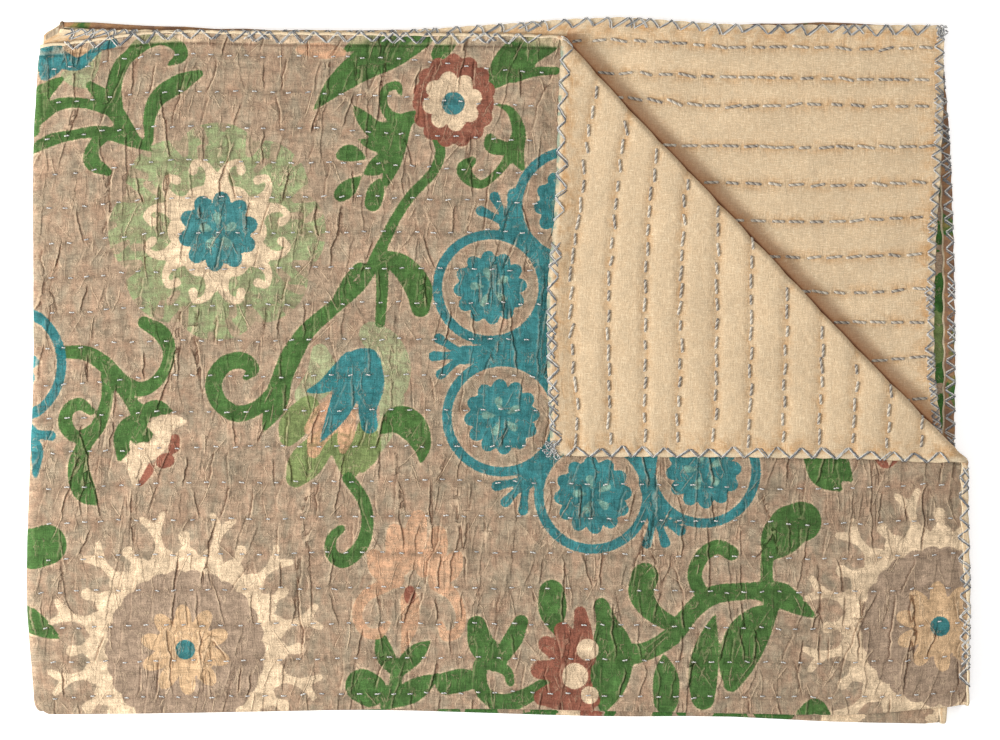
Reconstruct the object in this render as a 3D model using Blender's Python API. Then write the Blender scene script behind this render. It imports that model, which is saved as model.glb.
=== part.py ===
"""A kantha quilt of throw size, folded in four with one corner turned back.

The quilt is two cloths sewn together: a printed face and a plain back. The back is cut
larger all round, and its edge is turned over the face's edge as a narrow hem. Rows of
running stitch quilt the two together, so each cloth swells a little between the rows.

The quilt is first drawn flat. A flat point is (u, v, w): u runs along its length, v across
its width, and w from the back (negative) to the face (positive), with 0 between the two
cloths. fold() then carries any flat point to its place in the folded quilt:

  1. the bottom fold (the line v = 0) doubles the quilt, back to back;
  2. the left fold (the line u = 0) doubles that pair again, one half under the other;
  3. the top leaf's outer corner is turned back over it on a slanting crease.

Leaves are named from the top down: front_top, back_top, back_low and front_low, which
lies face down on the surface. Metres, +Z up, the origin under the middle of the quilt.
"""

import math

import bmesh
import bpy
from mathutils import Vector, noise

# Driving dimensions of the flat quilt.
QUILT_LENGTH = 1.778
QUILT_WIDTH = 1.270
CLOTH = 0.0010  # thickness of each cloth
GAP = 0.0003  # clear space between pieces that touch
HEM_TURN = 0.008  # how far the back is turned over the face
ROW_PITCH = 0.033  # from one row of running stitch to the next
FIRST_ROW = 0.015  # from the bottom fold to the nearest row
FACE_SWELL = 0.0007  # how far the face swells between rows
BACK_SWELL = 0.0003
REST_SWELL = 0.00065  # the lowest leaf is pressed flat at this swell, level with its hem
HIDDEN_SWELL = 0.0004
PUCKER = 0.45  # share by which the swell varies along a row
PUCKER_LENGTH = 0.16

# The folds, by the radius of each turn's middle line.
BOTTOM_RADIUS = 0.0021
LEFT_RADIUS = 0.0043
CORNER_RADIUS = 0.0035
LEFT_STEPS = 6  # flat strips round each turn
BOTTOM_STEPS = 4
CORNER_STEPS = 4
CREASE_ON_TOP = 0.4945  # where the slanting crease meets the top edge, from the left fold
CREASE_ON_SIDE = 0.2335  # where it meets the right edge, from the bottom fold
CORNER_SETTLES = 0.0022  # how far the turned corner sinks, away from its crease
CORNER_SETTLES_OVER = 0.080

# How far each edge lies outside the plain rectangle, in millimetres, as a person folds it.
# Stations are evenly spaced: along the bottom and top edges from the left fold to the right
# edge, and along the left fold and right edges from the bottom to the top.
LEFT_FOLD = (-10, -3, -5, -9, -9, -9, -14)
BOTTOM_FOLD = {
    "upper": (-2, -3, -5, -7, -7, -5, -3, -2, -10),
    "lower": (-2, -2, -4, -5, -2, 1, 1, 4, 5),
}
TOP_EDGE = {
    "front_top": (-2, 10, 9, 8, 7, 3, 3, 0, -2),
    "back_top": (17, 11, 11, 11, 17, 23, 17, 16, 16),
    "back_low": (17, 17, 13, 12, 14, 18, 17, 19, 14),
    "front_low": (-2, 5, 5, 3, 5, 9, 10, 10, 10),
}
RIGHT_EDGE = {
    "front_top": (-2, -1, -3, 0, 2, 4, 6),
    "back_top": (-2, -8, -22, -34, -33, -27, -25),
    "back_low": (-22, -17, -14, -12, -12, -15, -27),
    "front_low": (-22, -20, -18, -17, -17, -20, -29),
}
# How far the turned corner's hems lie to the right and upwards of a plain fold, from the
# crease to the corner's tip.
CORNER_LEFT_HEM = (0, 1, 1, -4, -2, 5)
CORNER_BOTTOM_HEM = (3, 6, 5, 3, 1, -1)
CORNER_EASES = 0.120  # over this distance from the hem
ALONG_CELLS = 8
ACROSS_CELLS = 4
UNEVEN = 0.06  # share by which the stack's height wanders
UNEVEN_LENGTH = 0.35

# Values worked out from those above.
HALF_LENGTH = QUILT_LENGTH / 2
HALF_WIDTH = QUILT_WIDTH / 2
INNER = GAP / 2  # from the middle surface to each cloth
OUTER = INNER + CLOTH
HEM_UNDER = OUTER + GAP
HEM_OVER = HEM_UNDER + CLOTH
HEM_SHIFT = (HEM_OVER - OUTER) / 2  # the hem's thickness is shared between both sides
HEM_EASES = 0.020  # from the edge to where the hem no longer lifts the cloth
HEM_HALF = HEM_OVER - HEM_SHIFT  # half the hem's whole thickness
FACE_INSET = CLOTH + GAP  # the face's edge lies inside the back's turned edge
LEFT_ARC = LEFT_RADIUS * math.pi / 2
BOTTOM_ARC = BOTTOM_RADIUS * math.pi / 2
CORNER_ARC = CORNER_RADIUS * math.pi
PAIR_MIDDLE = HEM_HALF + BOTTOM_RADIUS + LEFT_RADIUS  # height of the left fold's axis
ROWS = int((HALF_WIDTH - FIRST_ROW) / ROW_PITCH)


def crease_line():
    """The slanting crease as a unit direction towards the corner, and its distance from (0, 0)."""
    along = Vector((HALF_LENGTH - CREASE_ON_TOP, CREASE_ON_SIDE - HALF_WIDTH))
    outward = Vector((-along.y, along.x)).normalized()
    middle = outward.dot(Vector((CREASE_ON_TOP, HALF_WIDTH)))
    return outward, middle - CORNER_ARC / 2


CREASE_OUT, CREASE_START = crease_line()
BACK_SHOWS_FROM = (CREASE_ON_TOP - 0.05, CREASE_ON_SIDE - 0.02)


def edge_distance(u, v):
    """How far a flat point lies inside the quilt's edge."""
    return min(HALF_LENGTH - abs(u), HALF_WIDTH - abs(v))


def hem_share(u, v):
    """1 under the hem, easing to 0 a little inside it."""
    eased = (HEM_EASES - edge_distance(u, v)) / (HEM_EASES - HEM_TURN)
    return min(max(eased, 0.0), 1.0)


def smooth(t):
    """0 to 1 with a soft start and end."""
    t = min(max(t, 0.0), 1.0)
    return t * t * (3 - 2 * t)


def read_stations(stations, share):
    """A table's value in metres at a share of its length, on a smooth curve through its stations."""
    place = min(max(share, 0.0), 1.0) * (len(stations) - 1)
    i = min(int(place), len(stations) - 2)
    t = place - i
    before = stations[max(i - 1, 0)]
    after = stations[min(i + 2, len(stations) - 1)]
    a, b = stations[i], stations[i + 1]
    slope_a, slope_b = (b - before) / 2, (after - a) / 2
    bend = (2 * t**3 - 3 * t**2 + 1) * a + (t**3 - 2 * t**2 + t) * slope_a
    bend += (3 * t**2 - 2 * t**3) * b + (t**3 - t**2) * slope_b
    return bend / 1000


def turn(s, arc, radius):
    """A line that turns back on itself round a fold. Gives the distance along, the distance
    to the side, and the outward direction's parts along and to the side."""
    if abs(s) >= arc:
        side = math.copysign(1.0, s)
        return abs(s) - arc, side * radius, 0.0, side
    angle = s / arc * math.pi / 2
    return (
        -radius * math.cos(angle),
        radius * math.sin(angle),
        -math.cos(angle),
        math.sin(angle),
    )


def turn_corner(u, v, w):
    """Turns the top leaf's corner up and back over the leaf."""
    past = u * CREASE_OUT.x + v * CREASE_OUT.y - CREASE_START
    if u < 0 or v < 0 or past <= 0:
        return u, v, w
    angle = min(past / CORNER_RADIUS, math.pi)
    along = CORNER_RADIUS * math.sin(angle)
    if past > CORNER_ARC:
        along = CORNER_ARC - past
    along -= w * math.sin(angle) + past
    settled = smooth((past - CORNER_ARC) / CORNER_SETTLES_OVER)
    lift = CORNER_RADIUS * (1 - math.cos(angle)) - CORNER_SETTLES * settled
    from_top, from_side = HALF_WIDTH - v, HALF_LENGTH - u
    to_tip = 1 - from_side / (HALF_LENGTH - CREASE_ON_TOP)
    right = read_stations(CORNER_LEFT_HEM, to_tip) * (1 - smooth(from_top / CORNER_EASES))
    to_tip = 1 - from_top / (HALF_WIDTH - CREASE_ON_SIDE)
    up = read_stations(CORNER_BOTTOM_HEM, to_tip) * (1 - smooth(from_side / CORNER_EASES))
    return (
        u + along * CREASE_OUT.x + right * settled,
        v + along * CREASE_OUT.y + up * settled,
        lift + w * math.cos(angle),
    )


def fold(u, v, w):
    """The place of a flat point in the folded quilt."""
    w -= HEM_SHIFT * hem_share(u, v)
    u, v, w = turn_corner(u, v, w)
    leaf = ("front" if v >= 0 else "back") + ("_top" if u >= 0 else "_low")
    pair = "upper" if u >= 0 else "lower"
    across, lift, across_x, across_z = turn(u, LEFT_ARC, LEFT_RADIUS)
    up, depth, out_y, out_depth = turn(v, BOTTOM_ARC, BOTTOM_RADIUS)
    share_x = max(across, 0.0) / (HALF_LENGTH - LEFT_ARC)
    share_y = max(up, 0.0) / (HALF_WIDTH - BOTTOM_ARC)
    left = read_stations(LEFT_FOLD, share_y)
    bottom = read_stations(BOTTOM_FOLD[pair], share_x)
    right = read_stations(RIGHT_EDGE[leaf], share_y)
    top = read_stations(TOP_EDGE[leaf], share_x)
    x = min(across, 0.0) - left + share_x * (HALF_LENGTH + right + left)
    y = min(up, 0.0) - bottom + share_y * (HALF_WIDTH + top + bottom)
    from_pair = depth + w * out_depth
    x += from_pair * across_x
    y += w * out_y
    z = PAIR_MIDDLE + lift + from_pair * across_z
    z *= 1 + UNEVEN * noise.noise(Vector((x, y, 0)) / UNEVEN_LENGTH)
    return Vector((x, y, z))


def row_arch(v):
    """0 on a row of stitches and 1 midway between two rows."""
    return abs(math.sin(math.pi * (v - FIRST_ROW) / ROW_PITCH))


def pucker(u, v):
    """Puckers across the rows make the swell uneven along them."""
    return 1 + PUCKER * noise.noise(Vector((u / PUCKER_LENGTH, v / ROW_PITCH, 7)))


def face_swell(u, v):
    """Quilted on the top leaf, pressed flat on the lowest and plain on the two between."""
    if v < 0:
        return HIDDEN_SWELL * (1 - hem_share(u, v))
    on_top = min(max((u + LEFT_ARC) / (2 * LEFT_ARC), 0.0), 1.0)
    quilted = FACE_SWELL * row_arch(v) * pucker(u, v)
    swell = quilted * on_top + REST_SWELL * (1 - on_top)
    return swell * (1 - hem_share(u, v))


def back_swell(u, v):
    """Quilted where it shows: on the turned corner and on the leaf under it."""
    if u < BACK_SHOWS_FROM[0] or abs(v) < BACK_SHOWS_FROM[1]:
        return 0.0
    return BACK_SWELL * row_arch(abs(v)) * pucker(u, v) * (1 - hem_share(u, v))


def cut(flat, normal, distance, where=lambda c: True):
    """Cuts the flat drawing's faces along a straight line."""
    faces = [f for f in flat.faces if where(f.calc_center_median())]
    edges = {e for f in faces for e in f.edges}
    verts = {v for f in faces for v in f.verts}
    bmesh.ops.bisect_plane(
        flat,
        geom=[*faces, *edges, *verts],
        dist=1e-7,
        plane_co=Vector(normal) * distance,
        plane_no=normal,
    )


def draw_flat():
    """The flat quilt as one sheet of faces, cut along every fold, hem line and row. Both
    cloths are raised from it, so they bend alike and keep clear of each other."""
    flat = bmesh.new()
    corners = ((-1, -1), (1, -1), (1, 1), (-1, 1))
    points = [flat.verts.new((u * HALF_LENGTH, v * HALF_WIDTH, 0)) for u, v in corners]
    flat.faces.new(points)
    for k in range(LEFT_STEPS + 1):
        cut(flat, (1, 0, 0), LEFT_ARC * (2 * k / LEFT_STEPS - 1))
    for k in range(BOTTOM_STEPS + 1):
        cut(flat, (0, 1, 0), BOTTOM_ARC * (2 * k / BOTTOM_STEPS - 1))
    for side in (-1, 1):
        for line in (CLOTH, FACE_INSET, HEM_TURN, HEM_EASES):
            cut(flat, (1, 0, 0), side * (HALF_LENGTH - line))
            cut(flat, (0, 1, 0), side * (HALF_WIDTH - line))
        for k in range(1, ALONG_CELLS):
            cut(flat, (1, 0, 0), side * HALF_LENGTH * k / ALONG_CELLS)
        for k in range(1, ACROSS_CELLS):
            cut(flat, (0, 1, 0), side * HALF_WIDTH * k / ACROSS_CELLS)
    for k in range(2 * ROWS + 1):
        line = FIRST_ROW + k * ROW_PITCH / 2
        cut(flat, (0, 1, 0), line, on_top_leaf)
        if line > BACK_SHOWS_FROM[1]:
            cut(flat, (0, 1, 0), -line, under_corner)
    for k in range(CORNER_STEPS + 1):
        line = CREASE_START + CORNER_ARC * k / CORNER_STEPS
        cut(flat, (*CREASE_OUT, 0), line, on_top_leaf)
    bmesh.ops.triangulate(flat, faces=flat.faces[:])
    flat.verts.index_update()
    return flat


def on_top_leaf(c):
    return c.x > 0 and c.y > 0


def under_corner(c):
    return c.x > BACK_SHOWS_FROM[0] and c.y < -BACK_SHOWS_FROM[1]


def add_skin(solid, flat, zone, height):
    """Adds the flat drawing's faces in a zone, each point at its height above the middle."""
    points = {}
    for face in flat.faces:
        if not zone(face.calc_center_median()):
            continue
        for v in face.verts:
            if v.index not in points:
                points[v.index] = solid.verts.new((v.co.x, v.co.y, height(v.co.x, v.co.y)))
        solid.faces.new([points[v.index] for v in face.verts])
    return points


def add_walls(solid, flat, zone, lower, upper):
    """Joins two skins along the edge of a zone."""
    for edge in flat.edges:
        if sum(zone(f.calc_center_median()) for f in edge.link_faces) == 1:
            a, b = (v.index for v in edge.verts)
            solid.faces.new((lower[a], lower[b], upper[b], upper[a]))


def inside(line):
    """The zone further than this from the quilt's edge."""
    return lambda c: edge_distance(c.x, c.y) > line


def finish_node(name, solid, colour, roughness, holder):
    """Folds a flat solid and makes it an object with its own material."""
    bmesh.ops.triangulate(solid, faces=[f for f in solid.faces if len(f.verts) > 3])
    bmesh.ops.recalc_face_normals(solid, faces=solid.faces[:])
    for v in solid.verts:
        v.co = fold(*v.co)
    mesh = bpy.data.meshes.new(name)
    solid.to_mesh(mesh)
    solid.free()
    mesh.shade_smooth()
    mesh.set_sharp_from_angle(angle=math.radians(50))
    material = bpy.data.materials.new(name)
    material.use_nodes = True
    shader = material.node_tree.nodes["Principled BSDF"]
    shader.inputs["Base Color"].default_value = (*colour, 1)
    shader.inputs["Roughness"].default_value = roughness
    mesh.materials.append(material)
    made = bpy.data.objects.new(name, mesh)
    bpy.context.scene.collection.objects.link(made)
    made.parent = holder
    return made


def make_face_cloth(flat, holder):
    """The printed face: one cloth, its raw edge held inside the back's turned hem."""
    solid = bmesh.new()
    within = inside(FACE_INSET)
    lower = add_skin(solid, flat, within, lambda u, v: INNER + face_swell(u, v))
    upper = add_skin(solid, flat, within, lambda u, v: OUTER + face_swell(u, v))
    add_walls(solid, flat, within, lower, upper)
    return finish_node("face_cloth", solid, (0.34, 0.24, 0.17), 0.92, holder)


def make_back_cloth(flat, holder):
    """The plain back: one cloth that turns up round the face's edge and over it as a hem."""
    solid = bmesh.new()
    everywhere, in_wall, in_turn = inside(0), inside(CLOTH), inside(HEM_TURN)
    outer = add_skin(solid, flat, everywhere, lambda u, v: -OUTER - back_swell(u, v))
    inner = add_skin(solid, flat, in_wall, lambda u, v: -INNER - back_swell(u, v))
    under = add_skin(
        solid, flat, lambda c: in_wall(c) and not in_turn(c), lambda u, v: HEM_UNDER
    )
    over = add_skin(solid, flat, lambda c: not in_turn(c), lambda u, v: HEM_OVER)
    add_walls(solid, flat, everywhere, outer, over)
    add_walls(solid, flat, in_wall, inner, under)
    add_walls(solid, flat, in_turn, under, over)
    return finish_node("back_cloth", solid, (0.66, 0.47, 0.28), 0.9, holder)


def main():
    for old in list(bpy.data.objects):
        bpy.data.objects.remove(old)
    holder = bpy.data.objects.new("kantha_quilt", None)
    bpy.context.scene.collection.objects.link(holder)
    flat = draw_flat()
    cloths = [make_face_cloth(flat, holder), make_back_cloth(flat, holder)]
    points = [v.co for cloth in cloths for v in cloth.data.vertices]
    low = Vector([min(p[k] for p in points) for k in range(3)])
    high = Vector([max(p[k] for p in points) for k in range(3)])
    middle = (low + high) / 2
    holder.location = (-middle.x, -middle.y, -low.z)


main()
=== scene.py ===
"""A kantha quilt folded in four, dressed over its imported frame."""

import math
from functools import partial

import bmesh
import bpy
import numpy as np
from bpy.props import FloatProperty, FloatVectorProperty, PointerProperty
from mathutils import Color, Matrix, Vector, noise


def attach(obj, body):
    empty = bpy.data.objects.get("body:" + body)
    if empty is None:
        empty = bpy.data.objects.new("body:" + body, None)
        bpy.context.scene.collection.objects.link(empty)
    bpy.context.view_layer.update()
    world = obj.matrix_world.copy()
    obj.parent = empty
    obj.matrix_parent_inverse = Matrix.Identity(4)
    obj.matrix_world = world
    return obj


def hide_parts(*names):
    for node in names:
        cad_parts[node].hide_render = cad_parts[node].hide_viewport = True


bl_info = {
    "name": "Kantha quilt",
    "version": (1, 0, 0),
    "blender": (4, 5, 0),
    "location": "3D View > Sidebar > Quilt",
    "description": "Builds a folded kantha quilt with its print, hem and hand stitching",
    "category": "Object",
}

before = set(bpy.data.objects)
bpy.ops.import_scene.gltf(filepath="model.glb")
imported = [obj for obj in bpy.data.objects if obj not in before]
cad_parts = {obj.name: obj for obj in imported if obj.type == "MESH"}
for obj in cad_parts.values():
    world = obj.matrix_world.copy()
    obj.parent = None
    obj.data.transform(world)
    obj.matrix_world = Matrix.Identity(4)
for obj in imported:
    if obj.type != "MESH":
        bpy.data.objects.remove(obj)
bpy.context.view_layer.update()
MM = 0.001

# The flat quilt and its folds, in metres, as the frame's solids have them.
QUILT_LENGTH = 1.778
QUILT_WIDTH = 1.270
CLOTH = 0.0010
GAP = 0.0003
HEM_TURN = 0.008
ROW_PITCH = 0.033
FIRST_ROW = 0.015
REST_SWELL = 0.00065
HIDDEN_SWELL = 0.0004
BOTTOM_RADIUS = 0.0021
LEFT_RADIUS = 0.0043
CORNER_RADIUS = 0.0035
CREASE_ON_TOP = 0.4945
CREASE_ON_SIDE = 0.2335
CORNER_SETTLES = 0.0022
CORNER_SETTLES_OVER = 0.080
LEFT_FOLD = (-10, -3, -5, -9, -9, -9, -14)
BOTTOM_FOLDS = (  # the upper pair's, then the lower's
    (-2, -3, -5, -7, -7, -5, -3, -2, -10),
    (-2, -2, -4, -5, -2, 1, 1, 6, 8),
)
TOP_EDGE = {
    "front_top": (-2, 10, 9, 8, 7, 3, 3, 0, -2),
    "back_top": (12, 11, 11, 11, 17, 23, 17, 16, 16),
    "back_low": (20, 15, 12, 12, 14, 18, 17, 19, 14),
    "front_low": (-2, 5, 5, 3, 5, 9, 10, 10, 10),
}
RIGHT_EDGE = {
    "front_top": (-2, -1, -3, 0, 2, 4, 6),
    "back_top": (-2, -8, -22, -34, -33, -27, -25),
    "back_low": (-22, -17, -15, -14, -15, -19, -27),
    "front_low": (-22, -20, -18, -18, -19, -23, -29),
}
CORNER_LEFT_HEM = (0, 1, 1, -4, -2, 5)
CORNER_BOTTOM_HEM = (3, 6, 5, 3, 1, -1)
CORNER_EASES = 0.120
# The hem draws in the left fold's end, in the front pair and the back: how far in, and where
# along the fold it starts and over how much of it.
FOLD_ENDS = ((0.001, 0.985, 0.015), (0.016, 0.978, 0.020))
FOLD_CORNER = 0.009  # radius of the folded corner
LEAF_CORNER = 0.008  # radius of the quilt's own corners
UNEVEN = 0.06
UNEVEN_LENGTH = 0.35
QUILT_MIDDLE = (0.441293, 0.324547, 0)

HALF_LENGTH = QUILT_LENGTH / 2
HALF_WIDTH = QUILT_WIDTH / 2
INNER = GAP / 2
OUTER = INNER + CLOTH
HEM_UNDER = OUTER + GAP
HEM_OVER = HEM_UNDER + CLOTH
HEM_SHIFT = (HEM_OVER - OUTER) / 2
HEM_EASES = 0.020
HEM_HALF = HEM_OVER - HEM_SHIFT
FACE_INSET = CLOTH + GAP
LEFT_ARC = LEFT_RADIUS * math.pi / 2
BOTTOM_ARC = BOTTOM_RADIUS * math.pi / 2
CORNER_ARC = CORNER_RADIUS * math.pi
PAIR_MIDDLE = HEM_HALF + BOTTOM_RADIUS + LEFT_RADIUS
ALONG = Vector((HALF_LENGTH - CREASE_ON_TOP, CREASE_ON_SIDE - HALF_WIDTH))
CREASE_OUT = Vector((-ALONG.y, ALONG.x)).normalized()
CREASE_START = CREASE_OUT.dot(Vector((CREASE_ON_TOP, HALF_WIDTH))) - CORNER_ARC / 2


def smooth(t):
    t = np.clip(t, 0.0, 1.0)
    return t * t * (3 - 2 * t)


def read_stations(stations, share):
    """A table's value in metres at a share of its length, on a smooth curve."""
    table = np.array(stations, float)
    place = np.clip(share, 0.0, 1.0) * (len(table) - 1)
    i = np.minimum(place.astype(int), len(table) - 2)
    t = place - i
    a, b = table[i], table[i + 1]
    slope_a = (b - table[np.maximum(i - 1, 0)]) / 2
    slope_b = (table[np.minimum(i + 2, len(table) - 1)] - a) / 2
    bend = (2 * t**3 - 3 * t**2 + 1) * a + (t**3 - 2 * t**2 + t) * slope_a
    bend += (3 * t**2 - 2 * t**3) * b + (t**3 - t**2) * slope_b
    return bend * MM


def noise_at(x, y, length, seed=0.0):
    """Soft noise from -1 to 1, with lumps about this long."""
    points = zip((x / length).tolist(), (y / length).tolist())
    return np.array([noise.noise((a, b, seed)) for a, b in points])


def edge_distance(u, v):
    return np.minimum(HALF_LENGTH - np.abs(u), HALF_WIDTH - np.abs(v))


def hem_share(u, v):
    return np.clip((HEM_EASES - edge_distance(u, v)) / (HEM_EASES - HEM_TURN), 0.0, 1.0)


def turn(s, arc, radius):
    """A line that turns back on itself round a fold: the distance along, the distance to
    the side, and the outward direction's parts along and to the side."""
    side = np.where(s < 0, -1.0, 1.0)
    angle = np.clip(s / arc, -1.0, 1.0) * math.pi / 2
    past = np.abs(s) - arc
    along = np.where(past >= 0, past, -radius * np.cos(angle))
    out_along = np.where(past >= 0, 0.0, -np.cos(angle))
    out_side = np.where(past >= 0, side, np.sin(angle))
    return along, radius * out_side, out_along, out_side


def crease_distance(u, v):
    """How far a flat point of the top leaf lies past the start of the slanting crease."""
    past = u * CREASE_OUT.x + v * CREASE_OUT.y - CREASE_START
    return np.where((u > 0) & (v > 0), past, -1.0)


def turn_corner(u, v, w):
    past = np.maximum(crease_distance(u, v), 0.0)
    angle = np.minimum(past / CORNER_RADIUS, math.pi)
    along = np.where(past > CORNER_ARC, CORNER_ARC - past, CORNER_RADIUS * np.sin(angle))
    along = along - w * np.sin(angle) - past
    settled = smooth((past - CORNER_ARC) / CORNER_SETTLES_OVER)
    lift = CORNER_RADIUS * (1 - np.cos(angle)) - CORNER_SETTLES * settled
    from_top, from_side = HALF_WIDTH - v, HALF_LENGTH - u
    to_tip = 1 - from_side / (HALF_LENGTH - CREASE_ON_TOP)
    right = read_stations(CORNER_LEFT_HEM, to_tip) * (1 - smooth(from_top / CORNER_EASES))
    to_tip = 1 - from_top / (HALF_WIDTH - CREASE_ON_SIDE)
    up = read_stations(CORNER_BOTTOM_HEM, to_tip) * (1 - smooth(from_side / CORNER_EASES))
    turned = past > 0
    return (
        np.where(turned, u + along * CREASE_OUT.x + right * settled, u),
        np.where(turned, v + along * CREASE_OUT.y + up * settled, v),
        np.where(turned, lift + w * np.cos(angle), w),
    )


def round_off(a, b, radius):
    """Distances from two meeting edges, moved so that their corner is round."""
    far_a, far_b = np.maximum(radius - a, 0), np.maximum(radius - b, 0)
    share = np.maximum(far_a, far_b) / np.maximum(np.hypot(far_a, far_b), 1e-9)
    in_corner = (far_a > 0) & (far_b > 0)
    return (
        np.where(in_corner, radius - far_a * share, a),
        np.where(in_corner, radius - far_b * share, b),
    )


def fold(u, v, w):
    """The places of flat points in the folded quilt, as an array of x, y, z."""
    w = w - HEM_SHIFT * hem_share(u, v)
    from_side, from_top = round_off(HALF_LENGTH - np.abs(u), HALF_WIDTH - np.abs(v), LEAF_CORNER)
    u = np.sign(u) * (HALF_LENGTH - from_side)
    v = np.sign(v) * (HALF_WIDTH - from_top)
    u, v, w = turn_corner(u, v, w)
    across, lift, across_x, across_z = turn(u, LEFT_ARC, LEFT_RADIUS)
    up, depth, out_y, out_depth = turn(v, BOTTOM_ARC, BOTTOM_RADIUS)
    across, up = round_off(across, up, FOLD_CORNER)
    share_x = np.maximum(across, 0.0) / (HALF_LENGTH - LEFT_ARC)
    share_y = np.maximum(up, 0.0) / (HALF_WIDTH - BOTTOM_ARC)
    front, top = v >= 0, u >= 0

    def by_leaf(tables, share):
        leaves = [read_stations(table, share) for table in tables.values()]
        return np.select([front & top, ~front & top, ~front], leaves[:3], leaves[3])

    drawn_in = [inward * smooth((share_y - start) / over) for inward, start, over in FOLD_ENDS]
    left = read_stations(LEFT_FOLD, share_y) - np.where(front, *drawn_in)
    bottom = np.where(top, *(read_stations(table, share_x) for table in BOTTOM_FOLDS))
    right, top_edge = by_leaf(RIGHT_EDGE, share_y), by_leaf(TOP_EDGE, share_x)
    x = np.minimum(across, 0.0) - left + share_x * (HALF_LENGTH + right + left)
    y = np.minimum(up, 0.0) - bottom + share_y * (HALF_WIDTH + top_edge + bottom)
    from_pair = depth + w * out_depth
    x = x + from_pair * across_x
    y = y + w * out_y
    z = PAIR_MIDDLE + lift + from_pair * across_z
    z = z * (1 + UNEVEN * noise_at(x, y, UNEVEN_LENGTH))
    return np.stack([x, y, z], axis=1) - QUILT_MIDDLE


# ---------------------------------------------------------------- rows, puckers and relief

ROWS = 19
ROW_RISE = 0.009  # rows rise a little in the middle of the leaf, most near its top
ROW_DROP = 0.018  # and the top rows dip where the corner turns over
BACK_ROWS_MM = (287, 325, 359, 389, 421, 455, 488, 522, 561, 585, 614)
FACE_SWELL = 0.0011
BACK_SWELL = 0.0010
PUCKER_GAP = (8, 30)  # mm from one pucker to the next
CRACKS = 1300
# Creases: how far their line wanders, and how far their depth reaches.
PUCKER_LINE = (0.0040, 0.006)
CRACK_LINE = (0.0030, 0.0045)
# A crease's section, as the place, half width and height of its ridge, groove and swell.
CREASE_SECTION = ((-0.0022, 0.0028, 0.8), (0.0020, 0.0024, -0.55), (0, 0.008, 0.45))
CREASE_HEIGHT = 1.25
ROW_WANDER = 0.0022
# Running stitches: the mean and the spread of the step from one to the next.
FACE_STEP = (0.0168, 0.0012)
CORNER_STEP = (0.0175, 0.0012)
BACK_STEP = (0.0196, 0.0013)
FROM_EDGE = 0.014  # the rows' first stitches lie about this far in


def row_shift(u, plain):
    """How far above its even place a row of the top leaf lies."""
    rise = ROW_RISE * np.sin(math.pi * np.clip(u / HALF_LENGTH, 0, 1))
    beside = (u - 0.52) / np.where(u < 0.52, 0.20, 0.10)
    dip = ROW_DROP * np.exp(-(beside**2)) * smooth((plain - 0.43) / 0.13)
    return rise * np.clip(plain / HALF_WIDTH, 0, 1) ** 2 - dip


def row_wander(u, k):
    return ROW_WANDER * noise_at(u, k * 0.31 + np.zeros_like(u), 0.13, 3.0)


def row_line(k, u):
    """The height on the cloth of a row of quilting on the top leaf."""
    plain = FIRST_ROW + k * ROW_PITCH
    return plain + row_wander(u, k) + row_shift(u, plain)


def rows_from(u, v):
    """Rows counted up the top leaf, as a whole number on each row's line."""
    level = v - row_shift(u, v - row_shift(u, v))
    k = (level - FIRST_ROW) / ROW_PITCH
    return k - row_wander(u, k) / ROW_PITCH


def plan_puckers():
    """Creases that run from row to row: start, lean, length, strength, side and wander."""
    rng = np.random.default_rng(11)
    plan = []
    for k in range(-1, ROWS):
        u = rng.uniform(2, 14)
        while u < HALF_LENGTH / MM - 4:
            bands = rng.choice((0.8, 1.0, 2.0, 3.0), p=(0.30, 0.42, 0.21, 0.07))
            start = (u * MM, FIRST_ROW + k * ROW_PITCH + rng.normal(0, 0.002))
            side = rng.choice((-1, 1), p=(0.35, 0.65))
            lean, strength = rng.normal(0.08, 0.17), rng.beta(1.5, 1.7)
            plan.append((*start, lean, bands * ROW_PITCH, strength, side, rng.uniform(0, 100)))
            u += rng.uniform(*PUCKER_GAP)
    return plan


def plan_cracks():
    """Short sharp creases that the wash has worn pale, leaning either way."""
    rng = np.random.default_rng(23)
    plan = []
    for _ in range(CRACKS):
        start = (rng.uniform(0, HALF_LENGTH), rng.uniform(-0.01, HALF_WIDTH))
        lean, length = rng.normal(0.12, 0.40), 0.006 + 0.030 * rng.beta(1.3, 2.0)
        side, strength = rng.choice((-1, 1)), rng.uniform(0.25, 1) ** 1.3
        plan.append((*start, lean, length, strength, side, rng.uniform(0, 100)))
    return plan


def plan_face_stitches():
    """The running stitches of the printed side: place, lean and length."""
    rng = np.random.default_rng(5)
    plan = []
    for k in range(ROWS):
        u = 0.012 + rng.uniform(0, 0.01)
        while u < HALF_LENGTH - 0.012:
            here = np.array([u])
            v = float(row_line(k, here)[0]) + rng.normal(0, 0.0006)
            past = crease_distance(here, np.array([v]))[0]
            hidden = under_turned_corner(here, np.array([v]))[0] > 0.5
            if past < -0.004 and not hidden:
                plan.append((u, v, rng.normal(0, 0.12), rng.uniform(0.0046, 0.0064)))
            u += rng.normal(*FACE_STEP)
    return plan


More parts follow.
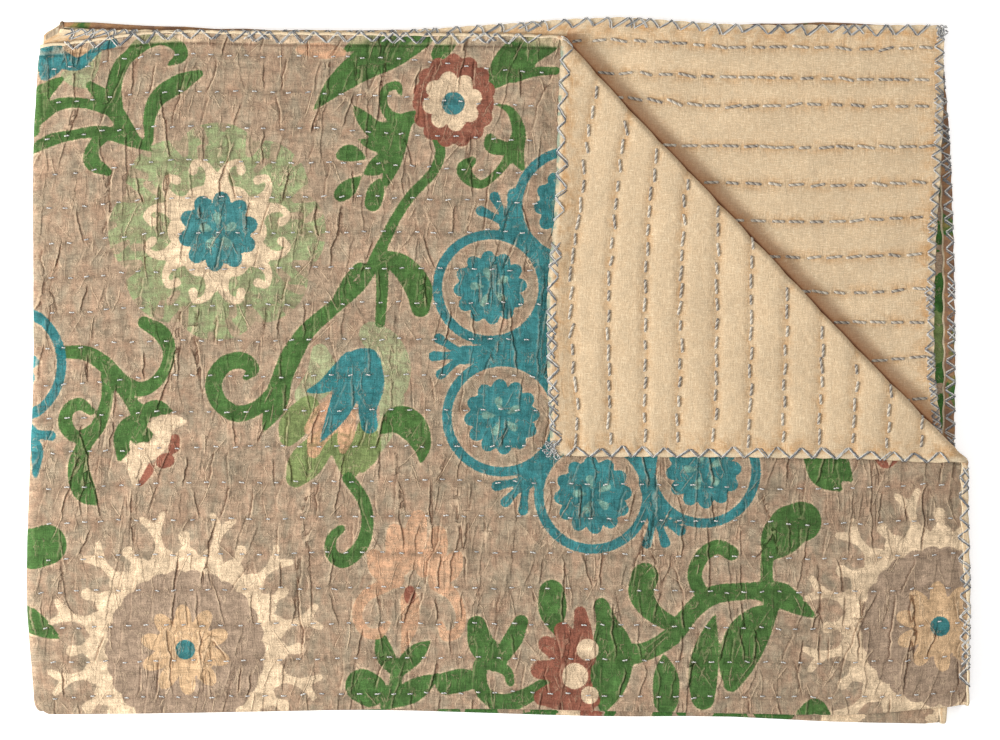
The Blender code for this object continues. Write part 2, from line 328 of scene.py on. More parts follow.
def plan_back_stitches():
    """The longer stitches of the plain side, on the turned corner and the leaf under it."""
    rng = np.random.default_rng(6)
    plan = []
    for k in range(ROWS):
        u = HALF_LENGTH - FROM_EDGE - rng.uniform(0, 0.008)
        while u > CREASE_ON_TOP:
            here = np.array([u])
            v = float(row_line(k, here)[0]) + rng.normal(0, 0.0008)
            if crease_distance(here, np.array([v]))[0] > CORNER_ARC * 0.8:
                plan.append((u, v, rng.normal(0, 0.10), rng.normal(0.0128, 0.0016)))
            u -= rng.normal(*CORNER_STEP)
    for k, row in enumerate(BACK_ROWS_MM):
        u = HALF_LENGTH - FROM_EDGE - rng.uniform(0, 0.008)
        while u > CREASE_ON_TOP - 0.02:
            v = row * MM + 0.0035 * noise.noise((u / 0.11, k * 1.7, 4))
            if crease_distance(u, v) > -0.02:
                lean, length = rng.normal(0, 0.10), rng.normal(0.0148, 0.0020)
                plan.append((u, -v, lean, np.clip(length, 0.009, 0.018)))
            u -= rng.normal(*BACK_STEP)
    return plan


def pulled_down(plan, u, v, across):
    """From 0 to 1: how strongly the nearest stitch pulls the cloth down."""
    pull = np.zeros_like(u)
    order = np.argsort(v)
    v_sorted = v[order]
    for at_u, at_v, lean, length in plan:
        low, high = np.searchsorted(v_sorted, (at_v - 0.010, at_v + 0.010))
        part = order[low:high]
        part = part[np.abs(u[part] - at_u) < 0.018]
        du, dv = u[part] - at_u, v[part] - at_v
        away = (du / (0.35 * length + across)) ** 2 + ((dv - lean * du) / across) ** 2
        pull[part] = np.maximum(pull[part], np.exp(-away))
    return pull


def crooked(v, length, seed):
    """A line's wander from -1 to 1, with bends about this far apart."""
    steps = np.arange(-0.03, HALF_WIDTH + 0.05, length / 2)
    bends = [noise.noise((x / length, seed, 2.0)) for x in steps]
    return np.interp(v, steps, bends)


def along_lines(plan, u, v, wander, reach):
    """The relief of these creases, and the nearest one's signed distance (mm) and depth."""
    height, near, depth = np.zeros_like(u), np.full_like(u, 9.0), np.zeros_like(u)
    order = np.argsort(v)
    v_sorted = v[order]
    for start_u, start_v, lean, length, strength, side, seed in plan:
        low, high = np.searchsorted(v_sorted, (start_v - 0.004, start_v + length + 0.004))
        part = order[low:high]
        part = part[np.abs(u[part] - start_u) < 0.03 + abs(lean) * length]
        if not len(part):
            continue
        t = (v[part] - start_v) / length
        line = start_u + lean * (v[part] - start_v)
        line += wander * (crooked(v[part], 0.021, seed) + 0.4 * crooked(v[part], 0.007, seed))
        d = (u[part] - line) * side / math.hypot(1, lean)
        fade = strength * np.clip(np.minimum(t, 1 - t) * 5 + 0.25, 0, 1)
        section = sum(tall * np.exp(-(((d - at) / half) ** 2)) for at, half, tall in CREASE_SECTION)
        height[part] += fade * section * CREASE_HEIGHT * MM
        closer = np.abs(d) / MM < np.abs(near[part])
        chosen = part[closer]
        near[chosen] = d[closer] / MM
        depth[chosen] = fade[closer] * np.clip(1.4 - np.abs(d[closer]) / reach, 0, 1)
    return height, near, depth


def under_turned_corner(u, v):
    """1 on the part of the top leaf that the turned corner covers."""
    mirrored_u, mirrored_v = CREASE_ON_TOP - 0.008, CREASE_ON_SIDE + 0.008
    inside = np.minimum(u - mirrored_u, v - mirrored_v)
    return smooth((inside + 0.006) / 0.006) * (crease_distance(u, v) < 0)


def face_height(u, v):
    """How far the printed cloth stands above its plain level, with the nearest pucker."""
    top = (u > 0) & (v > 0)
    k = rows_from(u, v)
    arch = np.abs(np.sin(math.pi * k)) ** 0.8
    relief, near, depth = along_lines(PUCKERS, u, v, *PUCKER_LINE)
    soft = 0.0005 * noise_at(u, v, 0.05, 5.0) + 0.0004 * noise_at(u, v, 0.018, 6.0)
    gather = np.clip(noise_at(u * 2.6, v, 0.034, 15.0) * 1.5, -1, 1)
    quilted = (FACE_SWELL + 0.0008 * gather) * arch + relief * (0.35 + 0.65 * arch) + soft
    quilted += 0.0004
    quilted *= 1 - 0.8 * under_turned_corner(u, v)
    blend = np.clip((u + LEFT_ARC) / (6 * LEFT_ARC), 0, 1) * np.clip(v / 0.02, 0, 1)
    plain = np.where(v < 0, HIDDEN_SWELL, REST_SWELL)
    height = np.where(top, plain + (quilted - plain) * blend, plain)
    height -= 0.0008 * pulled_down(FACE_STITCHES, u, v, 0.0032)
    return height * (1 - hem_share(u, v)), near, depth


def back_height(u, v):
    """How far the plain cloth stands out on its own side."""
    shown = (u > CREASE_ON_TOP - 0.07) & (np.abs(v) > CREASE_ON_SIDE - 0.03)
    top = v > 0
    k = rows_from(u, np.abs(v))
    arch = np.where(top, np.abs(np.sin(math.pi * k)), back_arch(np.abs(v)))
    soft = 0.0007 * noise_at(u, v, 0.07, 8.0) + 0.0004 * noise_at(u, v, 0.022, 9.0)
    height = BACK_SWELL * arch**0.7 + soft + 0.0003
    height -= 0.0006 * pulled_down(BACK_STITCHES, u, v, 0.0036)
    near_rim = np.clip(1 - np.abs(edge_distance(u, v) - 0.009) / 0.009, 0, 1)
    height += 0.0007 * near_rim * np.cos(2 * math.pi * nearest_edge_path(u, v) / HEM_PITCH)
    return np.where(shown, height, 0.0) * smooth(edge_distance(u, v) / 0.004)


def back_arch(v):
    """The swell between the rows of the leaf under the turned corner."""
    rows = np.array(BACK_ROWS_MM) * MM
    return np.clip(np.abs(v[:, None] - rows).min(axis=1) / (ROW_PITCH / 2), 0, 1)


PUCKERS = plan_puckers()
CRACK_PLAN = plan_cracks()
FACE_STITCHES = plan_face_stitches()
BACK_STITCHES = plan_back_stitches()


# ---------------------------------------------------------------- the print

INKS = (
    "sage", "pale_sage", "bare", "lime", "leaf", "peach", "brick", "cream", "smoke", "ochre", "teal", "lace",
)
FIRM_INKS = ("lime", "leaf", "peach", "brick", "teal")  # these leave a pale line round their edge
REPEAT = ((713, 22), (-60, 704))  # mm from one repeat of the print to the next
# The print, drawn in millimetres on the flat cloth from the lower left corner of the top
# leaf. A stroke is a tapering line, and each of its points has its half width last.
STROKES = {
    "leaf": (
        # branching curls at the upper left
        ((3, 532, 4), (18, 541, 6), (39, 546, 5), (65, 549, 6), (94, 542, 7), (115, 531, 1.5)),
        ((97, 541, 7), (82, 565, 8), (69, 581, 8), (56, 593, 4)),
        ((77, 568, 5), (51, 576, 5), (26, 575, 6), (7, 564, 8)),
        ((29, 599, 2.5), (19, 592, 6), (10, 583, 8), (4, 568, 7), (4, 549, 5)),
        ((82, 568, 6), (79, 591, 7), (86, 613, 7), (103, 628, 5), (122, 636, 5), (138, 631, 6),
         (142, 621, 6), (131, 613, 2)),
        ((88, 615, 5), (99, 630, 5), (111, 642, 4)),
        ((112, 540, 4), (112, 562, 6), (120, 581, 8), (139, 594, 9), (159, 604, 4)),
        ((71, 547, 6), (60, 536, 6), (58, 521, 8), (73, 511, 4)),
        # long leaves along the top
        ((267, 569, 1), (286, 591, 9), (313, 612, 15), (341, 627, 17), (371, 638, 9)),
        ((296, 626, 2), (311, 634, 7), (326, 642, 5)),
        ((385, 622, 7), (392, 632, 9), (399, 644, 7)),
        ((436, 592, 3), (446, 607, 13), (462, 622, 17), (482, 634, 11)),
        ((464, 613, 4), (483, 622, 4), (504, 636, 3)),
        ((455, 604, 9), (475, 606, 5), (496, 607, 4)),
        # sprig and small leaves left of the upper red flower
        ((369, 566, 4), (352, 558, 8), (345, 540, 11), (341, 521, 9), (336, 500, 3)),
        ((351, 552, 8), (328, 550, 9), (315, 561, 7), (306, 572, 2)),
        ((352, 560, 5), (339, 565, 5), (333, 576, 4), (335, 589, 4), (346, 593, 4), (349, 585, 2)),
        ((341, 535, 8), (324, 537, 6), (310, 541, 1.5)),
        ((335, 524, 8), (326, 516, 8), (316, 510, 2)),
        ((293, 527, 5), (302, 529, 8), (317, 524, 1)),
        ((293, 490, 7), (300, 496, 8), (312, 507, 1)),
        ((323, 482, 8), (326, 493, 8), (330, 505, 1)),
        # curls right of it
        ((438, 576, 1), (453, 569, 4), (461, 550, 6.5), (458, 530, 8), (466, 512, 1.5)),
        ((455, 530, 5), (443, 513, 4), (427, 500, 4), (415, 504, 6), (409, 514, 7), (417, 522, 4)),
        ((451, 533, 6), (437, 536, 8), (434, 543, 5)),
        # the vine, its leaves and the curl at its end
        ((381, 547, 4), (387, 530, 5), (379, 510, 5), (360, 490, 5), (345, 468, 5), (330, 438, 6),
         (313, 407, 6), (288, 385, 7), (262, 362, 8), (247, 339, 10), (237, 315, 10), (231, 292, 11),
         (219, 265, 1)),
        ((229, 302, 7), (213, 288, 7), (194, 283, 8), (177, 295, 8), (173, 314, 8), (184, 330, 8),
         (200, 333, 8), (210, 325, 6), (203, 317, 3)),
        ((288, 385, 6), (300, 409, 5), (311, 422, 4), (315, 413, 4), (305, 400, 3)),
        ((330, 432, 6), (332, 405, 6), (330, 369, 5)),
        ((332, 432, 6), (351, 422, 11), (366, 402, 13), (368, 383, 9)),
        # leaf and drooping stem of the tulip
        ((329, 264, 1), (345, 277, 12), (360, 271, 14), (369, 254, 9), (369, 237, 1.5)),
        ((300, 222, 6), (314, 201, 6), (318, 179, 6), (312, 158, 7), (296, 144, 7), (284, 151, 6),
         (284, 165, 5), (293, 174, 4)),
        # the stem and leaves at the left
        ((29, 341, 6), (52, 340, 7), (69, 330, 8), (86, 313, 8), (105, 306, 7), (122, 317, 6),
         (131, 339, 6), (124, 358, 8), (107, 369, 6)),
        ((73, 320, 7), (72, 296, 6), (64, 272, 7), (50, 252, 7), (45, 233, 10), (50, 211, 11),
         (62, 198, 2)),
        ((62, 269, 6), (44, 261, 6), (33, 272, 7), (35, 286, 6), (46, 292, 6), (57, 285, 4)),
        ((77, 317, 5), (90, 300, 5), (103, 283, 8)),
        ((105, 284, 6), (119, 288, 8), (133, 285, 1.5)),
        ((112, 262, 10), (99, 268, 14), (89, 259, 11), (84, 240, 2.5)),
        ((3, 155, 19), (15, 159, 19)),
        ((-3, 90, 11), (10, 81, 9), (28, 70, 1)),
        # sprigs along the bottom
        ((331, 69, 6), (335, 54, 9), (345, 39, 5)),
        ((376, 67, 2), (362, 55, 9), (347, 39, 6)),
        ((313, 26, 16), (320, 22, 16)),
        ((341, 9, 4), (361, 21, 11), (384, 35, 3)),
        ((346, 46, 6), (344, 27, 6), (335, 7, 5)),
        ((421, 83, 9), (426, 64, 12), (438, 46, 7)),
        ((463, 86, 7), (455, 69, 9), (441, 48, 7)),
        ((439, 46, 6), (450, 39, 5), (453, 29, 4)),
        ((393, 28, 11), (408, 31, 11), (424, 31, 6)),
        ((434, 64, 7), (424, 41, 7), (428, 19, 7), (445, 10, 8), (466, 15, 8), (486, 28, 6)),
        # the lower red flower, its leaves and the large sprig
        ((492, 114, 12), (493, 97, 13), (496, 74, 1.5)),
        ((539, 102, 7), (545, 82, 11), (549, 58, 20), (545, 29, 18), (541, 5, 4)),
        ((555, 55, 12), (580, 58, 9), (606, 73, 9), (625, 97, 9), (647, 112, 9), (689, 116, 8)),
        ((684, 116, 8), (706, 112, 12), (725, 101, 8), (742, 90, 1)),
        ((580, 129, 13), (577, 112, 12), (589, 94, 9), (613, 80, 7)),
        ((636, 109, 7), (627, 129, 7), (634, 148, 7), (649, 157, 7), (662, 151, 7)),
        ((696, 116, 6), (695, 139, 6), (698, 158, 7)),
        ((698, 152, 8), (710, 168, 19), (723, 177, 14)),
        ((598, 55, 1.5), (600, 33, 12), (600, 12, 12)),
        ((646, 92, 1.5), (639, 64, 11), (635, 37, 14), (635, 14, 11)),
        ((706, 103, 2), (682, 80, 18), (669, 55, 19), (662, 28, 8)),
        ((727, 0, 4), (741, 7, 7), (753, -1, 3)),
        ((742, 241, 12), (749, 226, 13), (764, 212, 3)),
        # small tulip at the top left
        ((7, 628, 1.5), (7, 618, 2.5), (8, 608, 1.5)),
    ),
    "brick": (
        # the lower red flower
        ((524, 52, 10), (522, 74, 9), (519, 95, 6)),
        ((520, 46, 10), (511, 64, 11), (502, 78, 8)),
        ((518, 41, 11), (502, 55, 10), (487, 65, 8)),
        ((517, 39, 12), (496, 40, 10), (481, 41, 9)),
        ((517, 31, 12), (500, 22, 11), (483, 15, 8)),
        ((520, 24, 11), (520, 9, 12), (519, -3, 12)),
        ((484, 13, 6), (505, 11, 8), (531, 12, 7)),
        ((800, 241, 4), (808, 237, 6), (817, 241, 3)),
        # the half flower at the left
        ((136, 259, 5), (135, 251, 5.5)),
        ((129, 239, 7), (125, 238, 7)),
        ((111, 231, 6), (107, 227, 7), (103, 217, 3)),
        # peach spray
        ((358, 115.5, 5), (358, 112, 5.6), (358, 108, 5)),
    ),
    "pale_sage": (
        # the tulip's backing
        ((322, 358, 12), (335, 345, 16), (346, 328, 13), (345, 311, 12)),
        ((341, 296, 12), (337, 272, 9), (322, 256, 13)),
        ((273, 341, 8), (275, 318, 15), (260, 300, 11)),
        # small tulip at the top left
        ((33, 602, 5), (46, 602, 11), (54, 610, 10), (62, 626, 5)),
        ((46, 603, 11), (50, 597, 7), (52, 591, 2)),
    ),
    "lime": (
        # the tulip's base
        ((262, 289, 11), (249, 273, 14), (243, 260, 8)),
        ((277, 256, 12), (260, 237, 16), (250, 222, 9)),
        ((296, 256, 14), (301, 239, 13), (301, 224, 5)),
        ((317, 269, 9), (319, 250, 12), (313, 232, 5)),
    ),
    "peach": (
        # the tulip's streaks
        ((294, 296, 3), (277, 284, 9), (263, 268, 5)),
        ((283, 273, 9), (271, 260, 9), (267, 247, 6)),
        ((304, 283, 4), (298, 264, 8), (295, 249, 4)),
        # at the top edge
        ((254, 627, 4), (275, 626, 8), (294, 624, 4)),
        # peach spray
        ((366, 184, 8), (363, 167, 11), (360, 143, 8)),
        ((344, 171, 8), (345, 156, 10), (351, 137, 7)),
        ((385, 169, 8), (383, 154, 10), (371, 135, 7)),
        ((324, 148, 7), (332, 137, 12), (345, 126, 8)),
        ((402, 148, 6), (396, 137, 11), (383, 126, 8)),
        ((337, 122, 7), (317, 111, 6), (308, 94, 5), (315, 78, 5), (328, 75, 5), (337, 84, 3)),
        ((383, 122, 7), (398, 112, 6), (406, 95, 5), (404, 78, 5), (392, 73, 5), (387, 84, 3)),
        ((358, 107, 9), (358, 84, 8), (351, 58, 2)),
    ),
    "teal": (
        # the tulip's petals
        ((261, 304, 1.5), (275, 308, 6), (293, 320, 11), (303, 330, 12)),
        ((313, 331, 14), (301, 309, 13), (290, 284, 10), (274, 257, 1.5)),
        ((317, 331, 14), (322, 310, 12), (318, 288, 9), (320, 272, 8)),
        # small tulip at the top left
        ((17, 633, 9), (20, 617, 12), (14, 601, 4)),
        ((28, 618, 9), (44, 613, 6), (57, 622, 4.5), (65, 629, 4), (77, 633, 5)),
        # fingers beside the wheel at the left edge
        ((-1, 273, 4), (6, 264, 4), (19, 262, 5)),
        ((2, 258, 4), (7, 247, 5), (5, 224, 2)),
    ),
    "ochre": (
        # small tulip at the top left
        ((34, 625, 2.5), (43, 625, 5), (52, 626, 2.5)),
    ),
    "cream": (
        # the half flower at the left
        ((113, 272, 3), (123, 270, 8), (134, 275, 7), (148, 275, 1)),
        ((125, 273, 9), (123, 258, 8.5), (113, 247, 8), (103, 243, 8)),
        ((106, 246, 10), (100, 235, 9.5), (98, 213, 1)),
        ((100, 246, 5), (96, 252, 3), (94, 257, 1)),
        ((100, 240, 8), (92, 239, 4), (86, 238, 1)),
    ),
}

# What shows of the leaves below, as ink from here to there in mm: along the long leaf's right
# side, by the flat v, then along its bottom fold, by the flat u.
INKS_AT_SIDE = (
    (-504, -481, "leaf"), (-459, -431, "leaf"), (-412, -377, "leaf"), (-377, -327, "lime"),
    (-327, -311, "leaf"), (-303, -262, "leaf"), (-236, -214, "leaf"), (-180, -150, "peach"),
)
INKS_AT_BOTTOM = (
    (-884, -872, "cream"), (-808, -768, "cream"), (-737, -706, "leaf"), (-696, -657, "leaf"),
    (-644, -625, "leaf"), (-620, -605, "leaf"), (-573, -557, "leaf"), (-551, -535, "brick"),
    (-535, -511, "cream"), (-511, -477, "leaf"), (-455, -424, "leaf"), (-416, -391, "leaf"),
    (-343, -318, "leaf"), (-260, -236, "leaf"), (-150, -128, "cream"),
)

# Flowers drawn round a centre: ink, centre, radius, lobes, depth of the lobes, turn.
FLOWERS = (
    ("sage", (176, 455), 103, 8, 0.12, 0),
    ("cream", (176, 455), 47, 12, 0.10, 0),
    ("teal", (177, 455), 38, 10, 0.30, 12),
    ("brick", (400, 584), 39, 13, 0.15, 8),
    ("brick", (399, 573), 39, 13, 0.15, 8),
    ("cream", (398, 578), 28.5, 8, 0.26, 10),
    ("teal", (399, 576), 11, 6, 0.02, 0),
    ("cream", (526, 60), 10.5, 3, 0.04, 0),
    ("cream", (514, 35), 12.5, 3, 0.05, 0),
    ("cream", (528, 17), 8.5, 3, 0.04, 0),
    ("cream", (146, 60), 90, 30, 0.01, 0),
    ("smoke", (146, 60), 76, 26, 0.05, 0),
    ("ochre", (146, 60), 43, 10, 0.52, 22),
    ("teal", (146, 60), 9.5, 9, 0.02, 0),
)
# Arms repeated round a centre: ink, centre, how many, turn, points as (out, aside, half
# width), and whether each arm has its mirror image.
ARMS = (
    ("bare", (176, 455), 8, 22.5, ((80, 0, 4), (96, 0, 9), (112, 0, 10)), False),
    ("bare", (176, 455), 8, 0, ((84, 10, 2.5), (95, 17, 5)), False),
    ("bare", (176, 455), 8, 0, ((97, -6, 3), (108, -5, 6)), False),
    ("bare", (176, 455), 8, 22.5, ((68, -12, 3), (78, -16, 4)), False),
    ("cream", (176, 455), 6, 0, ((33, 13, 10), (46, 21, 6), (59, 22, 3.6), (67, 15, 3), (61, 9, 4.4)), True),
    ("lace", (177, 455), 5, 20, ((8, 0, 2), (14, 0, 4.4)), False),
    ("teal", (177, 455), 5, 20, ((14, 0, 2.6), (15, 0, 2.6)), False),
    ("cream", (146, 60), 12, 14, ((86, 0, 12), (98, 0, 4.5), (114, 0, 4)), False),
    ("cream", (146, 60), 12, 14, ((112, 0, 4), (121, 4, 4), (129, 10, 3)), True),
    ("cream", (146, 60), 12, 29, ((86, 0, 11), (96, 1, 4), (107, 3, 5.5)), False),
)
# The teal arch: wheels as (centre, radius of the ring, radius of the flower). Neighbours in
# the arch are joined, and the join ends in three fingers away from the arch's middle.
ARCH = (
    ((511, 480), 51, 36),
    ((434, 402), 50, 35),
    ((445, 280), 52, 36),
    ((531, 206), 51, 37),
    ((635.5, 229), 49.5, 36),
)
ARCH_MIDDLE = (600, 370)
EDGE_WHEEL = ((-27, 330), 56, 36)
RING_HALF = 4.6  # half the width of a wheel's ring
FINGERS = (-38, -3, 34)  # the turn of each finger, and how much more at each join
FINGERS_LEAN = (-15, 0, 0, 10)
FINGER = ((0, 5), (15, 3.6), (29, 5))  # a finger's points: how far out, and its half width
SPLINE_STEPS = 7
DEPTH_LIMIT = 9.0


def spline(points):
    """Points along a smooth line through these."""
    p = np.array(points, float)
    p = np.vstack([2 * p[0] - p[1], p, 2 * p[-1] - p[-2]])
    out = []
    for a, b, c, d in zip(p, p[1:], p[2:], p[3:]):
        for t in np.arange(SPLINE_STEPS) / SPLINE_STEPS:
            bend = (2 * a - 5 * b + 4 * c - d) * t**2
            out.append(0.5 * (2 * b + (c - a) * t + bend + (3 * b - a - 3 * c + d) * t**3))
    return np.array([*out, p[-2]])


def turned_by(direction, degrees):
    turn_cos, turn_sin = math.cos(math.radians(degrees)), math.sin(math.radians(degrees))
    x, y = direction
    return np.array((x * turn_cos - y * turn_sin, x * turn_sin + y * turn_cos))


class Inks:
    """How far inside each ink's shapes the points of a cloth lie, in millimetres, as far as
    DEPTH_LIMIT either way."""

    def __init__(self, u, v):
        self.u, self.v = u / MM, v / MM
        self.depth = {ink: np.full_like(u, -DEPTH_LIMIT) for ink in INKS}
        self.order = np.argsort(self.u)
        self.u_sorted = self.u[self.order]

    def near(self, centre, reach):
        low, high = np.searchsorted(self.u_sorted, (centre[0] - reach, centre[0] + reach))
        part = self.order[low:high]
        return part[np.abs(self.v[part] - centre[1]) < reach]

    def away(self, part, centre):
        return np.hypot(self.u[part] - centre[0], self.v[part] - centre[1])

    def put(self, ink, part, inside):
        field = self.depth[ink]
        field[part] = np.maximum(field[part], np.clip(inside, -DEPTH_LIMIT, DEPTH_LIMIT))

    def stroke(self, ink, points, shift):
        line = spline(points)
        line[:, :2] += shift
        middle = (line[:, :2].max(axis=0) + line[:, :2].min(axis=0)) / 2
        reach = (line[:, :2].max(axis=0) - line[:, :2].min(axis=0)).max() / 2
        part = self.near(middle, reach + line[:, 2].max() + 6)
        if len(part):
            away = np.hypot(self.u[part][:, None] - line[:, 0], self.v[part][:, None] - line[:, 1])
            self.put(ink, part, (np.maximum(line[:, 2], 0.6) - away).max(axis=1))

    def flower(self, ink, centre, radius, lobes, depth, turned, shift):
        x, y = centre[0] + shift[0], centre[1] + shift[1]
        part = self.near((x, y), radius + 8)
        if len(part):
            around = np.arctan2(self.v[part] - y, self.u[part] - x) - math.radians(turned)
            petal = np.abs(np.cos(lobes * around / 2)) ** 0.6
            inside = radius * (1 - depth * (1 - petal)) - self.away(part, (x, y))
            self.put(ink, part, inside)

    def arm(self, ink, centre, count, turned, points, mirrored, shift):
        for k in range(count):
            for side in (1, -1) if mirrored else (1,):
                places = (turned_by((p[0], side * p[1]), turned + 360 * k / count) for p in points)
                self.stroke(ink, [(*(centre + at), p[2]) for at, p in zip(places, points)], shift)

    def wheel(self, centre, ring, flower, shift):
        middle = np.add(centre, shift)
        part = self.near(middle, ring + 14)
        if len(part):
            self.put("teal", part, RING_HALF - np.abs(self.away(part, middle) - ring))
            self.flower("teal", centre, flower, 12, 0.24, 4, shift)
            self.arm("lace", centre, 5, 30, ((7, 0, 1.2), (15.5, 0, 3.8)), False, shift)

    def join(self, first, second, lean, shift):
        (a, ring_a, _), (b, ring_b, _) = first, second
        a, b = np.add(a, shift), np.add(b, shift)
        middle = (a + b) / 2
        out = np.array((a[1] - b[1], b[0] - a[0])) / np.linalg.norm(a - b)
        out *= np.sign(out @ (middle - np.add(ARCH_MIDDLE, shift)))
        part = self.near(middle, 75)
        if not len(part):
            return
        along = (self.u[part] - middle[0]) * out[0] + (self.v[part] - middle[1]) * out[1]
        gap = np.minimum(self.away(part, a) - ring_a, self.away(part, b) - ring_b)
        self.put("teal", part, np.minimum(gap, np.minimum(13 - along, along + 60)))
        root = middle + out * 30
        self.stroke("teal", [(*middle, 9), (*(middle + out * 15), 8), (*root, 9)], (0, 0))
        for degrees in FINGERS:
            finger = turned_by(out, degrees + lean)
            points = [(*(root + finger * reach), half) for reach, half in FINGER]
            self.stroke("teal", points, (0, 0))

    def clear(self, part):
        for field in self.depth.values():
            field[part] = -DEPTH_LIMIT

    def draw(self, shift):
        for ink, strokes in STROKES.items():
            for points in strokes:
                self.stroke(ink, points, shift)
        for flower in FLOWERS:
            self.flower(*flower, shift)
        for arm in ARMS:
            self.arm(*arm, shift)
        for wheel in (*ARCH, EDGE_WHEEL):
            self.wheel(*wheel, shift)
        for first, second, lean in zip(ARCH, ARCH[1:], FINGERS_LEAN):
            self.join(first, second, lean, shift)


def on_folded_leaf(u, v):
    """Where flat points lie when the top leaf's edges are as they are folded."""
    share_x = np.clip((u - LEFT_ARC) / (HALF_LENGTH - LEFT_ARC), 0, 1)
    share_y = np.clip((v - BOTTOM_ARC) / (HALF_WIDTH - BOTTOM_ARC), 0, 1)
    left, right = (read_stations(t, share_y) for t in (LEFT_FOLD, RIGHT_EDGE["front_top"]))
    bottom, top = (read_stations(t, share_x) for t in (BOTTOM_FOLDS[0], TOP_EDGE["front_top"]))
    return (
        u - LEFT_ARC * (1 - share_x) - left * (1 - share_x) + right * share_x,
        v - BOTTOM_ARC * (1 - share_y) - bottom * (1 - share_y) + top * share_y,
    )


def print_inks(u, v):
    inks = Inks(*on_folded_leaf(u, v))
    (along_u, along_v), (up_u, up_v) = REPEAT
    for i in (-2, -1, 0, 1):
        for j in (-1, 0):
            inks.draw((i * along_u + j * up_u, i * along_v + j * up_v))
        if i == -1:
            inks.clear((u > 0) & (v > 0))
    at_side = (u < 0.035 - HALF_LENGTH) & (v < 0)
    inks.clear(at_side | ((u < 0) & (v < BOTTOM_ARC) & (v > -0.028)))
    return inks.depth


# ---------------------------------------------------------------- meshes


def spaced(*parts):
    """Stations from each place on, evenly spaced by about its step, up to the last place."""
    stations = []
    for (start, step), (end, _) in zip(parts, parts[1:]):
        count = max(1, round(abs(end - start) / step))
        stations += list(start + (end - start) * np.arange(count) / count)
    return [*stations, parts[-1][0]]


def flat_sheet(across, up):
    """A flat grid of faces, cut along the turned corner's bend. Gives its points and faces."""
    grid = bmesh.new()
    rows = [[grid.verts.new((u, v, 0)) for u in across] for v in up]
    for low, high in zip(rows, rows[1:]):
        for i in range(len(across) - 1):
            grid.faces.new((low[i], low[i + 1], high[i + 1], high[i]))
    for k in range(9):
        near = [f for f in grid.faces if -0.02 < bend_place(f.calc_center_median()) < 0.03]
        edges = {e for f in near for e in f.edges}
        verts = {v for f in near for v in f.verts}
        bmesh.ops.bisect_plane(
            grid,
            geom=[*near, *edges, *verts],
            dist=1e-5,
            plane_co=(*(CREASE_OUT * (CREASE_START + CORNER_ARC * k / 8)), 0),
            plane_no=(*CREASE_OUT, 0),
        )
    grid.verts.index_update()
    points = np.array([v.co[:2] for v in grid.verts])
    faces = [[v.index for v in f.verts] for f in grid.faces]
    grid.free()
    return points[:, 0], points[:, 1], faces


def bend_place(c):
    """A face's crease distance from its middle, in plain numbers, which is much quicker."""
    if c.x < 0 or c.y < 0:
        return -1.0
    return c.x * CREASE_OUT.x + c.y * CREASE_OUT.y - CREASE_START


def make_piece(name, points, faces, material):
    mesh = bpy.data.meshes.new(name)
    mesh.from_pydata(np.asarray(points).tolist(), [], faces)
    mesh.update()
    mesh.polygons.foreach_set("use_smooth", np.ones(len(mesh.polygons), bool))
    mesh.materials.append(material)
    piece = bpy.data.objects.new(name, mesh)
    bpy.context.scene.collection.objects.link(piece)
    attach(piece, "root")
    return piece


def note(piece, **layers):
    """Stores numbers or vectors at each point of a piece, for its material."""
    for name, values in layers.items():
        kind, field = ("FLOAT_VECTOR", "vector") if np.ndim(values) == 2 else ("FLOAT", "value")
        layer = piece.data.attributes.new(name, kind, "POINT")
        layer.data.foreach_set(field, np.ravel(values))


def flat_mm(u, v):
    """Where each point lies on the flat cloth, in millimetres, for the print and the grain."""
    return np.stack([u, v, np.zeros_like(u)], axis=1) / MM


def make_face_cloth(material):
    end, top = HALF_LENGTH - FACE_INSET, HALF_WIDTH - FACE_INSET
    near_end, near_top = 0.03 - HALF_LENGTH, 0.03 - HALF_WIDTH
    across = spaced((-end, 0.005), (near_end, 0.045), (-LEFT_ARC, 0.0011), (LEFT_ARC, 0.00275), (end, 0))
    up = spaced((-top, 0.006), (near_top, 0.040), (-BOTTOM_ARC, 0.0008), (BOTTOM_ARC, 0.00275), (top, 0))
    u, v, faces = flat_sheet(across, up)
    height, near, depth = face_height(u, v)
    piece = make_piece("printed_face", fold(u, v, OUTER + height), faces, material)
    note(piece, flat=flat_mm(u, v), crease=near, crease_depth=depth)
    _, near, depth = along_lines(CRACK_PLAN, u, v, *CRACK_LINE)
    k = rows_from(u, v)
    row, pulled = np.abs(k - np.round(k)) * ROW_PITCH / MM, pulled_down(FACE_STITCHES, u, v, 0.0026)
    note(piece, crack=near, crack_depth=depth, row=row, pulled=pulled)
    inks = print_inks(u, v)
    note(piece, **inks, printed=np.max([inks[ink] for ink in FIRM_INKS], axis=0))
    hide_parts("face_cloth")
    return piece


HEM_SHOWN = 0.0062  # how much of the hem shows
HEM_NARROW = 0.0022  # and how much where the print reaches the rim
HEM_ROLLED = 0.0050  # and how much more where it rolls over, on the lowest leaf
# The turned hem: inset in mm, and height between the cloth's outer side (0) and the hem's (1).
HEM_PROFILE = ((0.25, 0.02), (-0.15, 0.25), (-0.25, 0.5), (-0.15, 0.78), (0.35, 0.97), (1.2, 1.0))


